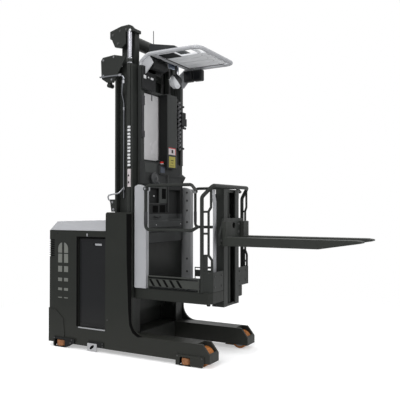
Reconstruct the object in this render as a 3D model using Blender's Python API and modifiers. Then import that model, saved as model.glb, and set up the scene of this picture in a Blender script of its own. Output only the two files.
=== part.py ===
"""Order picker truck with a two-stage mast, a raised operator cabin and a fork lift on the cabin.

Metres, +Z up, +X towards the fork tips, +Y to the truck's left. The origin lies on the floor,
midway between the rear bumper and the fork tips and on the centre line. The pose is the parked
one: the mast is a little out, and the cabin floor is above the front legs.
"""

import math

import bmesh
import bpy
from mathutils import Matrix, Vector

# Clearances
FIT = 0.0003
PIN_GAP = 0.0005
RUN = 0.006
SINK = 0.001
SINK_DEEP = 0.004

# Overall plan
REAR_X = -1.625
FORK_TIP_X = 1.625
HALF_WIDTH = 0.500
CHASSIS_BOTTOM = 0.045

# Rear chassis
BODY_REAR_X = -1.618
BODY_FRONT_X = -0.862
SKIN_STEP = 0.006
BODY_HALF = HALF_WIDTH - SKIN_STEP
BODY_TOP = 1.224
BODY_WALL = 0.030
SKIRT_TOP = 0.400
SKIRT_STEP_X = -1.530
SKIRT_FRONT_X = -1.420
SKIRT_SLOPE_Z = 0.300
BAY_REAR_X = -1.225
BULKHEAD = 0.010
TRAY_BOTTOM = 0.100
TRAY_TOP = 0.130
LOUVRE_COUNT = 8
LOUVRE_LOW_Z = 0.946
LOUVRE_PITCH = 0.0235
LOUVRE_HEIGHT = 0.011
LOUVRE_LENGTH = 0.055
REAR_GRILLE_HALF = 0.300

# Hood over the drive and battery
HOOD_REAR_TOP = 1.317
HOOD_FRONT_TOP = 1.337
HOOD_INSET = 0.055
HOOD_WALL = 0.018
HOOD_FRONT_GAP = 0.006
HOOD_HINGE_RISE = 0.010
HOOD_SHAFT_OFFSET = 0.002
HOOD_SHAFT_RADIUS = 0.005

# Battery doors and battery
DOOR_REAR_X = -1.224
DOOR_FRONT_X = -0.870
DOOR_LOW_Z = 0.235
DOOR_HIGH_Z = 1.150
DOOR_THICKNESS = 0.024
DOOR_RECESS = 0.015
DOOR_SIDE_GAP = 0.010
DOOR_END_GAP = 0.005
DOOR_PIVOT_INSET = 0.012
DOOR_PIN_RADIUS = 0.006
DOOR_PIN_LENGTH = 0.016
DOOR_LOCK_X = -1.049
DOOR_LOCK_Z = 1.083
DOOR_LOCK_RADIUS = 0.011
BATTERY_LENGTH = 0.300
BATTERY_CLEARANCE = 0.030
BATTERY_HALF = BODY_HALF - DOOR_RECESS - DOOR_THICKNESS - BATTERY_CLEARANCE
BATTERY_TOP = 0.950

# Drive unit
DRIVE_X = -1.410
DRIVE_RADIUS = 0.155
DRIVE_WIDTH = 0.100
DRIVE_AXLE_RADIUS = 0.025
MOUNT_PLATE_Z = 0.400
MOUNT_PLATE_THICKNESS = 0.025
MOTOR_RADIUS = 0.110
MOTOR_HEIGHT = 0.300
TURNTABLE_RADIUS = 0.135
TURNTABLE_HEIGHT = 0.040
STEER_LEG_THICKNESS = 0.045
STEER_LEG_HALF = 0.060

# Front legs and the mast foot plates
SIDE_PLATE = 0.022
LEG_WIDTH = 0.178
LEG_INNER = HALF_WIDTH - LEG_WIDTH
LEG_REAR_X = BODY_FRONT_X + FIT
FOOT_FRONT_X = -0.543
FOOT_TOP = 1.416
FOOT_CORNER = 0.022
FOOT_FILLET = 0.155
LEG_TOP = 0.215
LEG_TIP_X = 0.325
LEG_SLOPE_X = 0.250
LEG_TIP_TOP = 0.122
LEG_TIP_WALL = 0.012
LEG_ROOF = 0.024
WELL_REAR_X = 0.118
WELL_OPEN_X = 0.185

# Load wheels
LOAD_X = 0.215
LOAD_RADIUS = 0.0875
LOAD_TREAD = 0.054
LOAD_GAP = 0.010
LOAD_AXLE_RADIUS = 0.015
LOAD_SLEEVE_RADIUS = 0.032

# Side guide rollers: x of the roller, its radius, the bracket's ends and its front taper
GUIDE_UNITS = {
    "front": dict(x=0.070, radius=0.050, rear=-0.030, front=0.270, taper=0.020),
    "rear": dict(x=-1.457, radius=0.062, rear=-1.545, front=-1.258, taper=0.110),
}
GUIDE_HEIGHT = 0.060
GUIDE_LOW_Z = 0.014
GUIDE_STICKOUT = HALF_WIDTH + 0.018
GUIDE_BRACKET_Y = GUIDE_STICKOUT - RUN
GUIDE_BRACKET_TOP = 0.104
GUIDE_BRACKET_MID = 0.060
GUIDE_LIP = 0.007
GUIDE_POCKET_TOP = 0.082
GUIDE_PIN_RADIUS = 0.009

# Light side plate with an oblong hole
SLOT_PLATE_X = (-1.090, -0.968)
SLOT_PLATE_Z = (0.006, 0.084)
SLOT_PLATE_THICKNESS = 0.008
SLOT_PLATE_Y = HALF_WIDTH + SLOT_PLATE_THICKNESS
SLOT_BLOCK_FRONT_X = -0.885
SLOT_BLOCK_Z = (0.050, 0.104)
SLOT_HALF_LENGTH = 0.030
SLOT_HALF_WIDTH = 0.010

# Outer mast
RAIL_REAR_X = -0.765
RAIL_FRONT_X = -0.550
RAIL_FLANGE = 0.020
RAIL_INSET = 0.025
RAIL_WIDTH = 0.130
RAIL_WEB = 0.014
RAIL_GROOVE = 0.059
RAIL_OUT_Y = HALF_WIDTH - RAIL_INSET
RAIL_IN_Y = RAIL_OUT_Y - RAIL_WIDTH
RAIL_WEB_Y = (RAIL_OUT_Y - RAIL_GROOVE - RAIL_WEB, RAIL_OUT_Y - RAIL_GROOVE)
OUTER_MAST_TOP = 2.888
CROSS_THICKNESS = 0.021
OUTER_CROSS = ((0.2163, 0.550), (1.250, 1.370), (2.750, 2.880))
TIE_HALF = LEG_INNER - 0.017
BASE_BOTTOM = 0.050
BASE_TOP = 0.215

# Inner mast
INNER_GAP = 0.007
INNER_FLANGE = 0.018
INNER_WEB = 0.014
INNER_DEPTH = 0.071
INNER_OUT_Y = RAIL_WEB_Y[0] - RUN
INNER_IN_Y = INNER_OUT_Y - INNER_DEPTH
INNER_BOTTOM = 0.385
INNER_TOP = 3.220
INNER_CROSS = ((0.386, 0.500), (1.500, 1.600), (2.850, 2.950))
TOP_BEAM_RADIUS = 0.064
TOP_BEAM_X = -0.660
TOP_BEAM_Z = 3.152
HEAD_THICKNESS = 0.028
HEAD_CAP_X = (-0.662, -0.555)
HEAD_CAP_Z = (3.215, 3.245)
HEAD_OUTLINE = (
    (-0.841, 3.170), (-0.817, 3.156), (-0.780, 3.079), (-0.700, 3.060), (-0.645, 3.100),
    (-0.645, 3.216), (-0.555, 3.216), (-0.555, 3.245), (-0.575, 3.270), (-0.608, 3.284),
    (-0.703, 3.280), (-0.841, 3.244),
)

# Lift cylinders in the outer grooves of the mast
LIFT_X = -0.605
LIFT_CLEARANCE = 0.0035
LIFT_TUBE_RADIUS = 0.0275
LIFT_BORE_RADIUS = 0.0240
LIFT_ROD_RADIUS = 0.0225
LIFT_TUBE_TOP = 2.955
LIFT_BORE_LOW = 0.600
LIFT_ROD_LOW = 0.800
LIFT_GLAND_RADIUS = 0.029
LIFT_Y = RAIL_WEB_Y[1] + LIFT_TUBE_RADIUS + LIFT_CLEARANCE
LIFT_GLAND_HEIGHT = 0.050

# Lift chains and their sheaves
CHAIN_Y = INNER_IN_Y - 0.020
CHAIN_WIDTH = 0.016
CHAIN_THICKNESS = 0.010
SHEAVE_RADIUS = 0.044
SHEAVE_WIDTH = 0.022
SHEAVE_Z = 3.020
SHEAVE_AXLE = 0.012
CHAIN_LOW_Z = 0.430

# Hose box and pipe at the near rail
HOSE_SKIN_OUTLINE = (
    (-0.937, 2.953), (-0.931, 2.806), (-0.924, 2.766), (-0.863, 2.726), (-0.778, 2.717),
    (-0.625, 2.962), (-0.767, 2.995), (-0.913, 2.984),
)
HOSE_SKIN = 0.012
HOSE_BOX_REAR_X = -0.922
HOSE_BOX_Z = (2.775, 2.880)
HOSE_BOX_DEPTH = 0.105
HOSE_ROLLER_X = -0.843
HOSE_ROLLER_Z = 2.697
HOSE_ROLLER_RADIUS = 0.022
HOSE_ROLLER_WIDTH = 0.060
HOSE_HANGER_HALF = 0.016
PIPE_RADIUS = 0.009
PIPE_HIGH_ROUTE = ((-0.942, 2.786), (-0.682, 2.781), (-0.640, 2.760), (-0.656, 2.685))
PIPE_LOW_ROUTE = ((-0.702, 2.604), (-0.691, 2.516), (-0.691, 1.560))

# Cabin
CAB_REAR_X = -0.537
CAB_INSET = 0.037
CAB_HALF = HALF_WIDTH - CAB_INSET
FLOOR_TOP = 0.676
FLOOR_DEPTH = 0.107
FLOOR_FRONT_X = 0.298
FLOOR_HALF = CAB_HALF - 0.016
FLOOR_FAR_Y = FLOOR_HALF - 0.197
FLOOR_NEAR_CORNER = ((0.277, FLOOR_HALF), (FLOOR_FRONT_X, FLOOR_HALF - 0.062))
FLOOR_FAR_CORNER = ((0.120, FLOOR_HALF), (0.240, FLOOR_FAR_Y), (FLOOR_FRONT_X, FLOOR_FAR_Y))
FOOT_ROD_RADIUS = 0.017
FOOT_ROD_LOW = 0.552
FOOT_ROD_PLACE = (0.262, 0.042 - FLOOR_HALF)
MAT_THICKNESS = 0.010
MAT_EDGE = 0.020
MAT_FRONT_X = 0.190
MAT_FAR_X = 0.090
MAT_RIB_PITCH = 0.060
MAT_RIB_WIDTH = 0.012
POST_DEPTH = 0.137
POST_WIDTH = 0.055
POST_TOP = 1.690
POST_PEAK = 0.022
UPRIGHT_DEPTH = 0.040
UPRIGHT_Y = (CAB_HALF - 0.111, CAB_HALF - 0.061)
UPRIGHT_TOP = 2.880
REAR_WALL = 0.020
REAR_WALL_TOP = 1.925
SCREEN_TOP = 2.630
SCREEN_THICKNESS = 0.005
SCREEN_BAR = 0.022
DUCT_Y = (-0.065, 0.115)
DUCT_FRONT_X = -0.396
DUCT_LOW_Z = 1.870
DUCT_CORNER = 0.012

# Control console
CONSOLE_FACE = ((-0.440, 1.700), (-0.458, 1.900))
CONSOLE_TOP = 1.925
CONSOLE_OUTLINE = (
    (-0.445, 1.105), (-0.445, 1.206), (-0.472, 1.214), (-0.472, 1.254), (-0.442, 1.262),
    (-0.430, 1.322), (-0.440, 1.336), CONSOLE_FACE[0], CONSOLE_FACE[1], (-0.465, CONSOLE_TOP),
)
CONSOLE_HALF = CAB_HALF - POST_WIDTH - 0.004
CONSOLE_FAR_Y = CONSOLE_HALF - 0.134
CONSOLE_FAR_X = -0.502
# Recesses in the console's face: y span, z span, x of the floor of the recess
CONSOLE_RECESSES = (
    dict(y=(0.037 - CONSOLE_HALF, 0.252 - CONSOLE_HALF), z=(1.510, 1.658), floor=-0.470),
    dict(y=(-0.131, -0.028), z=(1.552, 1.658), floor=-0.465),
    dict(y=(0.014, CONSOLE_HALF - 0.146), z=(1.345, 1.650), floor=-0.490),
)
CONSOLE_RIB_Y = (-0.018, 0.004)
CONSOLE_RIB_Z = (1.415, 1.800)
CONSOLE_RIB_X = -0.428
CONSOLE_BOX_Y = (0.006, CONSOLE_HALF - 0.046)
CONSOLE_BOX_OUTLINE = ((-0.500, 1.700), (-0.472, 1.727), (-0.435, 1.794), (-0.490, 1.836), (-0.500, 1.845))
STOP_PANEL_Y = (-0.163, -0.068)
STOP_PANEL_Z = (1.806, 1.893)
STOP_PANEL_X = -0.440
STOP_BUTTON_Y = -0.113
STOP_BUTTON_RADIUS = 0.020
STOP_BUTTON_Z = (1.923, 1.952)
STOP_BUTTON_X = -0.486
KNOB_SHARE = 0.250
KNOB_Y = 0.116 - CONSOLE_HALF
KNOB_RADIUS = 0.062
KNOB_STEM = 0.030
KNOB_GRIP_RADIUS = 0.012
KNOB_GRIP_HEIGHT = 0.040

# Carriage that runs in the inner mast
CARRIAGE_PLATE_Y = (INNER_IN_Y - 0.060, INNER_IN_Y - 0.040)
CARRIAGE_REAR_X = -0.700
CARRIAGE_Z = (0.620, 1.120)
CARRIAGE_ROLLER_RADIUS = 0.0621
CARRIAGE_ROLLER_Y = (INNER_IN_Y + 0.007, INNER_IN_Y + 0.035)
CARRIAGE_ROLLER_Z = (0.690, 1.050)
CARRIAGE_AXLE_RADIUS = 0.015

# Coiled cable and its clips on the far upright
COIL_RADIUS = 0.024
COIL_X = -0.462
COIL_Y = UPRIGHT_Y[0] - 0.090
COIL_Z = (2.090, 2.610)
COIL_CLIPS = ((2.100, 2.122), (2.340, 2.460), (2.560, 2.582))

# Overhead guard
ROOF_Z = 2.985
ROOF_Y = (UPRIGHT_Y[0] + UPRIGHT_Y[1]) / 2
ROOF_TUBE = 0.021
ROOF_REAR_X = CAB_REAR_X + UPRIGHT_DEPTH / 2
ROOF_FRONT_X = 0.140
ROOF_CORNER = 0.075
ROOF_CROSS_X = -0.400
ROOF_CROSS_TUBE = 0.018
ROOF_RISE_Z = 2.920
ROOF_RISE_X = 0.085
GUSSET_OUTLINE = ((-0.471, 2.785), (-0.369, 2.895), (-0.425, 2.980))
GUSSET_THICKNESS = 0.012
SLAT_COUNT = 4
SLAT_GAP = 0.0165
SLAT_NEAR_Y = -0.1935
SLAT_FAR_Y = UPRIGHT_Y[0] - 0.068
SLAT_WIDTH = (SLAT_FAR_Y - SLAT_NEAR_Y - (SLAT_COUNT - 1) * SLAT_GAP) / SLAT_COUNT
SLAT_PITCH = SLAT_WIDTH + SLAT_GAP
SLAT_FIRST_Y = SLAT_NEAR_Y + SLAT_WIDTH / 2
SLAT_REAR_X = -0.350
SLAT_Z = 2.987
SLAT_THICKNESS = 0.008
SLAT_LIP = 0.010
RIB_WIDTH = 0.030
RIB_HEIGHT = 0.018
RIB_FRONT_X = 0.030
LIGHT_BAR_X = (-0.332, -0.155)
LIGHT_BAR_Y = (0.007 - UPRIGHT_Y[0], SLAT_NEAR_Y + 0.0035)
COVER_OUTLINE = ((-0.500, 3.118), (-0.470, 3.121), (-0.201, 3.069), (-0.180, 3.040))
COVER_HALF = UPRIGHT_Y[0] - 0.092
COVER_WALL = 0.008
ANTENNA_RADIUS = 0.004
ANTENNA_PLACE = (-0.488, 0.060 - COVER_HALF)
ANTENNA_TOP = 3.270
LAMP_PLACE = (-0.407, 0.100, 2.800)
LAMP_RADIUS = 0.071
LAMP_BAND = 0.040
LAMP_STEM_RADIUS = 0.012
WORK_LAMP_X = ((-0.424, -0.318), (-0.306, -0.200))
WORK_LAMP_IN = 0.088
WORK_LAMP_OUT = 0.018
WORK_LAMP_DROP = (0.130, 0.010)
MIRROR_X = (-0.452, -0.444)
MIRROR_Y = (0.022, 0.225)
MIRROR_Z = (2.936, 3.050)
HORN_X = -0.442
HORN_LENGTH = 0.250
HORN_Y = (0.017 - UPRIGHT_Y[0], 0.017 - UPRIGHT_Y[0] + HORN_LENGTH)
HORN_Z = 2.905
HORN_RADIUS = 0.058

# Side gates
GATE_TUBE = 0.016
GATE_Y = CAB_HALF + RUN + GATE_TUBE
GATE_REAR_X = -0.385
GATE_TOP_END = ((0.125, 1.675), (0.172, 1.622))
GATE_LOW_END = ((0.130, 1.250), (0.198, 1.287))
GATE_TOP_Z = 1.675
GATE_LOW_Z = 1.250
GATE_PIVOT_DROP = 0.030
GATE_BEND = 0.040
GATE_PIN_RADIUS = 0.007
GATE_HUB_RADIUS = 0.022

# Front guard of the cabin
GUARD_TUBE = 0.019
GUARD_INNER_TUBE = 0.012
GUARD_SIDE_X = 0.209
GUARD_SIDE_Y = CAB_HALF - 0.026
GUARD_BEND_Z = 1.560
GUARD_TOP_X = 0.297
GUARD_TOP_Y = GUARD_SIDE_Y - 0.055
GUARD_TOP_Z = 1.667
GUARD_PANEL_TOP = 0.860
GUARD_WING_TOP = 1.028
GUARD_WING_SHARE = 0.520
GUARD_PLATE = 0.012
GUARD_WING_PLATE = 0.008
# Inner tube of the front guard: share of the way along the slanting corner, and height
GUARD_INNER_ROUTE = ((0.82, 1.648), (0.82, 1.465), (0.60, 1.426), (0.60, 1.020), (0.90, 0.975), (0.90, 0.850))
# Rungs of the front guard: share where the rung ends, and height
GUARD_RUNGS = ((0.60, 1.423), (0.60, 1.221), (0.90, 0.908))
TRIM_X = (0.231, 0.243)
TRIM_OUTLINE = (
    (0.213, 0.6763), (0.262, 0.6763), (0.262, 1.500), (0.290, 1.560), (0.290, 1.630), (0.232, 1.630),
    (0.232, 1.575), (0.213, 1.520),
)

# Fork mast and carriage
FORK_MAST_X = (0.212, 0.300)
FORK_MAST_HALF = 0.165
FORK_RAIL_WIDTH = 0.080
FORK_RAIL_WALL = 0.014
FORK_MAST_Z = (0.508, 1.640)
FORK_HEEL_X = 0.172
FORK_CYLINDER_X = 0.045
FORK_CYLINDER_RADIUS = 0.025
FORK_CYLINDER_TOP = 1.400
FORK_RAM_RADIUS = 0.016
FORK_PLATE_X = (0.3055, 0.3255)
FORK_PLATE_LOW_Z = 1.105
FORK_PLATE_SIDE_Z = 1.200
FORK_PLATE_TOP_Z = 1.360
FORK_PLATE_HALF = 0.300
FORK_PLATE_TOP_HALF = 0.210
FORK_PLATE_HOLE = 0.030
FORK_HOLE_Z = 1.290
FORK_NECK_Y = 0.036
FORK_BLOCK_Z = (1.130, 1.330)
FORK_ROLLER_Z = (1.170, 1.290)
FORK_Y = 0.200
FORK_WIDTH = 0.120
FORK_LOW_Z = 1.100
FORK_TOP_Z = 1.183
FORK_SHANK_TOP = 1.330
FORK_SHANK = 0.042
FORK_TAPER_X = 1.250
FORK_TIP_Z = (1.160, 1.175)
FORK_NOSE = 0.050

NEAR = -1
FAR = 1
SIDES = (("near", NEAR), ("far", FAR))


# Scene and materials

def clear_scene():
    for item in list(bpy.data.objects):
        bpy.data.objects.remove(item, do_unlink=True)


clear_scene()
PART = bpy.data.collections.new("order_picker_truck")
bpy.context.scene.collection.children.link(PART)
CUTTERS = bpy.data.collections.new("cutters")
bpy.context.scene.collection.children.link(CUTTERS)

FINISHES = {
    "chassis_green": ((0.024, 0.026, 0.022), 0.50, 0.0),
    "mast_green": ((0.021, 0.023, 0.019), 0.45, 0.0),
    "light_grey": ((0.500, 0.500, 0.510), 0.45, 0.0),
    "door_blue": ((0.013, 0.014, 0.017), 0.40, 0.0),
    "black": ((0.008, 0.008, 0.008), 0.55, 0.0),
    "steel": ((0.550, 0.550, 0.560), 0.25, 1.0),
    "chrome": ((0.700, 0.700, 0.720), 0.10, 1.0),
    "iron": ((0.060, 0.060, 0.060), 0.60, 0.6),
    "orange_tread": ((0.450, 0.160, 0.040), 0.55, 0.0),
    "rubber": ((0.020, 0.020, 0.020), 0.85, 0.0),
    "smoked_screen": ((0.400, 0.400, 0.400), 0.10, 0.0),
    "red": ((0.500, 0.020, 0.010), 0.35, 0.0),
    "white": ((0.750, 0.750, 0.760), 0.40, 0.0),
    "mirror": ((0.400, 0.420, 0.480), 0.08, 1.0),
    "battery_grey": ((0.090, 0.095, 0.100), 0.60, 0.0),
}
MATERIALS = {}


def material(finish):
    if finish not in MATERIALS:
        colour, roughness, metallic = FINISHES[finish]
        made = bpy.data.materials.new(finish)
        made.use_nodes = True
        shader = made.node_tree.nodes["Principled BSDF"]
        shader.inputs["Base Color"].default_value = (*colour, 1.0)
        shader.inputs["Roughness"].default_value = roughness
        shader.inputs["Metallic"].default_value = metallic
        made.diffuse_color = (*colour, 1.0)
        MATERIALS[finish] = made
    return MATERIALS[finish]


# Shape helpers

def add_mesh(name, mesh):
    item = bpy.data.objects.new(name, mesh)
    CUTTERS.objects.link(item)
    return item


def from_bmesh(name, work):
    mesh = bpy.data.meshes.new(name)
    work.to_mesh(mesh)
    work.free()
    return add_mesh(name, mesh)


def box(low, high):
    """Box between two corners."""
    work = bmesh.new()
    bmesh.ops.create_cube(work, size=1.0)
    size = [b - a for a, b in zip(low, high)]
    middle = [(a + b) / 2 for a, b in zip(low, high)]
    bmesh.ops.scale(work, verts=work.verts, vec=size)
    bmesh.ops.translate(work, verts=work.verts, vec=middle)
    return from_bmesh("box", work)


AXIS_TURN = {
    "x": Matrix.Rotation(math.radians(90), 4, "Y"),
    "y": Matrix.Rotation(math.radians(90), 4, "X"),
    "z": Matrix.Identity(4),
}


def rod(radius, centre, length, axis, sides=24, end_radius=None):
    """Cylinder, or a cone where end_radius is given, about its centre."""
    work = bmesh.new()
    tip = radius if end_radius is None else end_radius
    bmesh.ops.create_cone(work, cap_ends=True, segments=sides, radius1=radius, radius2=tip, depth=length)
    bmesh.ops.transform(work, matrix=Matrix.Translation(centre) @ AXIS_TURN[axis], verts=work.verts)
    return from_bmesh("rod", work)


def rod_between(radius, low, high, centre, axis, sides=24):
    """Cylinder along an axis from one coordinate to another; centre holds the other two."""
    middle = (low + high) / 2
    place = {"x": (middle, *centre), "y": (centre[0], middle, centre[1]), "z": (*centre, middle)}[axis]
    return rod(radius, place, high - low, axis, sides)


def curve_mesh(name, curve, matrix):
    """Mesh object of a curve, with its caps welded, and the curve removed."""
    holder = bpy.data.objects.new(name, curve)
    CUTTERS.objects.link(holder)
    graph = bpy.context.evaluated_depsgraph_get()
    mesh = bpy.data.meshes.new_from_object(holder.evaluated_get(graph))
    bpy.data.objects.remove(holder, do_unlink=True)
    work = bmesh.new()
    work.from_mesh(mesh)
    bmesh.ops.remove_doubles(work, verts=work.verts, dist=0.00002)
    bmesh.ops.transform(work, matrix=matrix, verts=work.verts)
    bmesh.ops.recalc_face_normals(work, faces=work.faces)
    work.to_mesh(mesh)
    work.free()
    return add_mesh(name, mesh)


PLANE_TURN = {
    "xy": Matrix.Identity(4),
    "xz": Matrix.Rotation(math.radians(90), 4, "X"),
    "yz": Matrix(((0, 0, 1, 0), (1, 0, 0, 0), (0, 1, 0, 0), (0, 0, 0, 1))),
}


def plate(outline, plane, low, high, holes=()):
    """Flat outline in a plane, extruded across it from low to high."""
    curve = bpy.data.curves.new("plate", "CURVE")
    curve.dimensions = "2D"
    curve.fill_mode = "BOTH"
    curve.extrude = (high - low) / 2
    for points in (outline, *holes):
        spline = curve.splines.new("POLY")
        spline.points.add(len(points) - 1)
        for point, (a, b) in zip(spline.points, points):
            point.co = (a, b, 0.0, 1.0)
        spline.use_cyclic_u = True
    middle = (low + high) / 2
    shift = {"xy": (0, 0, middle), "xz": (0, middle, 0), "yz": (middle, 0, 0)}[plane]
    return curve_mesh("plate", curve, Matrix.Translation(shift) @ PLANE_TURN[plane])


def round_path(points, radius, steps=4, closed=False):
    """Polyline with its corners replaced by arcs; works in the plane and in space."""
    points = [Vector(p) for p in points]
    count = len(points)
    result = []
    for index, corner in enumerate(points):
        if not closed and index in (0, count - 1):
            result.append(corner)
            continue
        before = points[index - 1] - corner
        after = points[(index + 1) % count] - corner
        angle = before.angle(after)
        if angle > math.radians(178):
            result.append(corner)
            continue
        reach = min(radius / math.tan(angle / 2), before.length * 0.49, after.length * 0.49)
        bend = reach * math.tan(angle / 2)
        centre = corner + (before.normalized() + after.normalized()).normalized() * (bend / math.sin(angle / 2))
        first = corner + before.normalized() * reach - centre
        last = corner + after.normalized() * reach - centre
        sweep = first.angle(last)
        for step in range(steps + 1):
            share = step / steps
            part = (math.sin((1 - share) * sweep) * first + math.sin(share * sweep) * last) / math.sin(sweep)
            result.append(centre + part)
    return [tuple(p) for p in result]


def rounded(outline, radius, steps=4):
    return round_path([(a, b) for a, b in outline], radius, steps, closed=True)


def tube(points, radius, closed=False, resolution=2):
    """Round tube along a path."""
    curve = bpy.data.curves.new("tube", "CURVE")
    curve.dimensions = "3D"
    curve.bevel_depth = radius
    curve.bevel_resolution = resolution
    curve.use_fill_caps = True
    spline = curve.splines.new("POLY")
    spline.points.add(len(points) - 1)
    for point, place in zip(spline.points, points):
        point.co = (*place, 1.0)
    spline.use_cyclic_u = closed
    return curve_mesh("tube", curve, Matrix.Identity(4))


def circle(centre, radius, sides=24):
    turn = 2 * math.pi / sides
    return [(centre[0] + radius * math.cos(turn * i), centre[1] + radius * math.sin(turn * i)) for i in range(sides)]


def combine(base, others, operation):
    """Boolean of a base with each of the others in turn, applied at once."""
    for other in others:
        change = base.modifiers.new("combine", "BOOLEAN")
        change.operation = operation
        change.solver = "EXACT"
        change.object = other
        graph = bpy.context.evaluated_depsgraph_get()
        mesh = bpy.data.meshes.new_from_object(base.evaluated_get(graph))
        base.modifiers.clear()
        base.data = mesh
        bpy.data.objects.remove(other, do_unlink=True)
    return base


def union(*pieces):
    return combine(pieces[0], pieces[1:], "UNION")


def cut(base, *cutters):
    return combine(base, cutters, "DIFFERENCE")


def finish(name, item, surface, origin=(0, 0, 0), smooth=True):
    """Names a finished piece, sets its origin and material, and moves it to the part's collection."""
    item.name = name
    item.data = item.data.copy()
    item.data.name = name
    item.data.transform(Matrix.Translation(-Vector(origin)))
    item.location = origin
    item.data.materials.clear()
    item.data.materials.append(material(surface))
    if smooth:
        item.data.shade_smooth()
        item.data.set_sharp_from_angle(angle=math.radians(35))
    CUTTERS.objects.unlink(item)
    PART.objects.link(item)
    return item


def bevel(item, width, segments=1, angle=40):
    edge = item.modifiers.new("edge", "BEVEL")
    edge.width = width
    edge.segments = segments
    edge.limit_method = "ANGLE"
    edge.angle_limit = math.radians(angle)
    return item


def across(side, low, high):
    """Sorted pair of y values at one side, from distances off the centre line."""
    return tuple(sorted((side * low, side * high)))


def side_box(side, x, y, z):
    """Box from spans of x, of distance off the centre line, and of z."""
    y_low, y_high = across(side, *y)
    return box((x[0], y_low, z[0]), (x[1], y_high, z[1]))


# Rear chassis

def guide_bracket(side, unit, wall_y):
    """Bracket round a side guide roller: an outer plate with a tapered end, and its window."""
    reach = unit["radius"] + RUN
    low = GUIDE_LOW_Z - GUIDE_LIP
    outline = [(unit["rear"], low), (unit["front"] - unit["taper"], low), (unit["front"], GUIDE_BRACKET_MID),
               (unit["front"], GUIDE_BRACKET_TOP), (unit["rear"], GUIDE_BRACKET_TOP)]
    outer = plate(outline, "xz", *across(side, wall_y - SINK_DEEP, GUIDE_BRACKET_Y))
    window = side_box(side, (unit["x"] - reach, unit["x"] + reach), (wall_y - 0.1, GUIDE_BRACKET_Y + 0.1),
                      (GUIDE_LOW_Z - RUN, GUIDE_POCKET_TOP))
    return outer, window


def guide_lip(side, unit):
    """Lip under a guide roller, with the pin that stands on it."""
    centre_y = GUIDE_STICKOUT - unit["radius"]
    low = GUIDE_LOW_Z - RUN
    lip = side_box(side, (unit["x"] - unit["radius"] - 0.012, unit["x"] + unit["radius"] + 0.012),
                   (centre_y - 0.025, GUIDE_BRACKET_Y - 0.002), (low - GUIDE_LIP + 0.002, low))
    pin = rod_between(GUIDE_PIN_RADIUS, low - 0.002, GUIDE_POCKET_TOP + 0.010,
                      (unit["x"], side * centre_y), "z", 16)
    return lip, pin


def guide_pocket(side, unit):
    """Room for a guide roller inside the chassis edge."""
    reach = unit["radius"] + RUN
    centre_y = GUIDE_STICKOUT - unit["radius"]
    return side_box(side, (unit["x"] - reach, unit["x"] + reach), (centre_y - reach, HALF_WIDTH + 0.05),
                    (-0.05, GUIDE_POCKET_TOP))


def slot_plate(side):
    """Light plate with an oblong hole, and the block that carries it."""
    middle = (sum(SLOT_PLATE_X) / 2, sum(SLOT_PLATE_Z) / 2)
    slant = math.radians(35)
    hole = []
    for index in range(16):
        turn = 2 * math.pi * index / 16
        along = SLOT_HALF_WIDTH * math.cos(turn)
        along += math.copysign(SLOT_HALF_LENGTH - SLOT_HALF_WIDTH, math.cos(turn + 0.01))
        off = SLOT_HALF_WIDTH * math.sin(turn)
        hole.append((middle[0] + along * math.cos(slant) - off * math.sin(slant),
                     middle[1] + along * math.sin(slant) + off * math.cos(slant)))
    outline = rounded([(SLOT_PLATE_X[0], SLOT_PLATE_Z[0]), (SLOT_PLATE_X[1], SLOT_PLATE_Z[0]),
                       (SLOT_PLATE_X[1], SLOT_PLATE_Z[1]), (SLOT_PLATE_X[0], SLOT_PLATE_Z[1])], 0.008, 2)
    y_low, y_high = across(side, SLOT_PLATE_Y - SLOT_PLATE_THICKNESS, SLOT_PLATE_Y)
    face = plate(outline, "xz", y_low, y_high, [hole])
    block = side_box(side, (SLOT_PLATE_X[0] + 0.010, SLOT_BLOCK_FRONT_X),
                     (BODY_HALF - BODY_WALL + SKIN_STEP, SLOT_PLATE_Y - SINK_DEEP), SLOT_BLOCK_Z)
    return face, block


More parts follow.
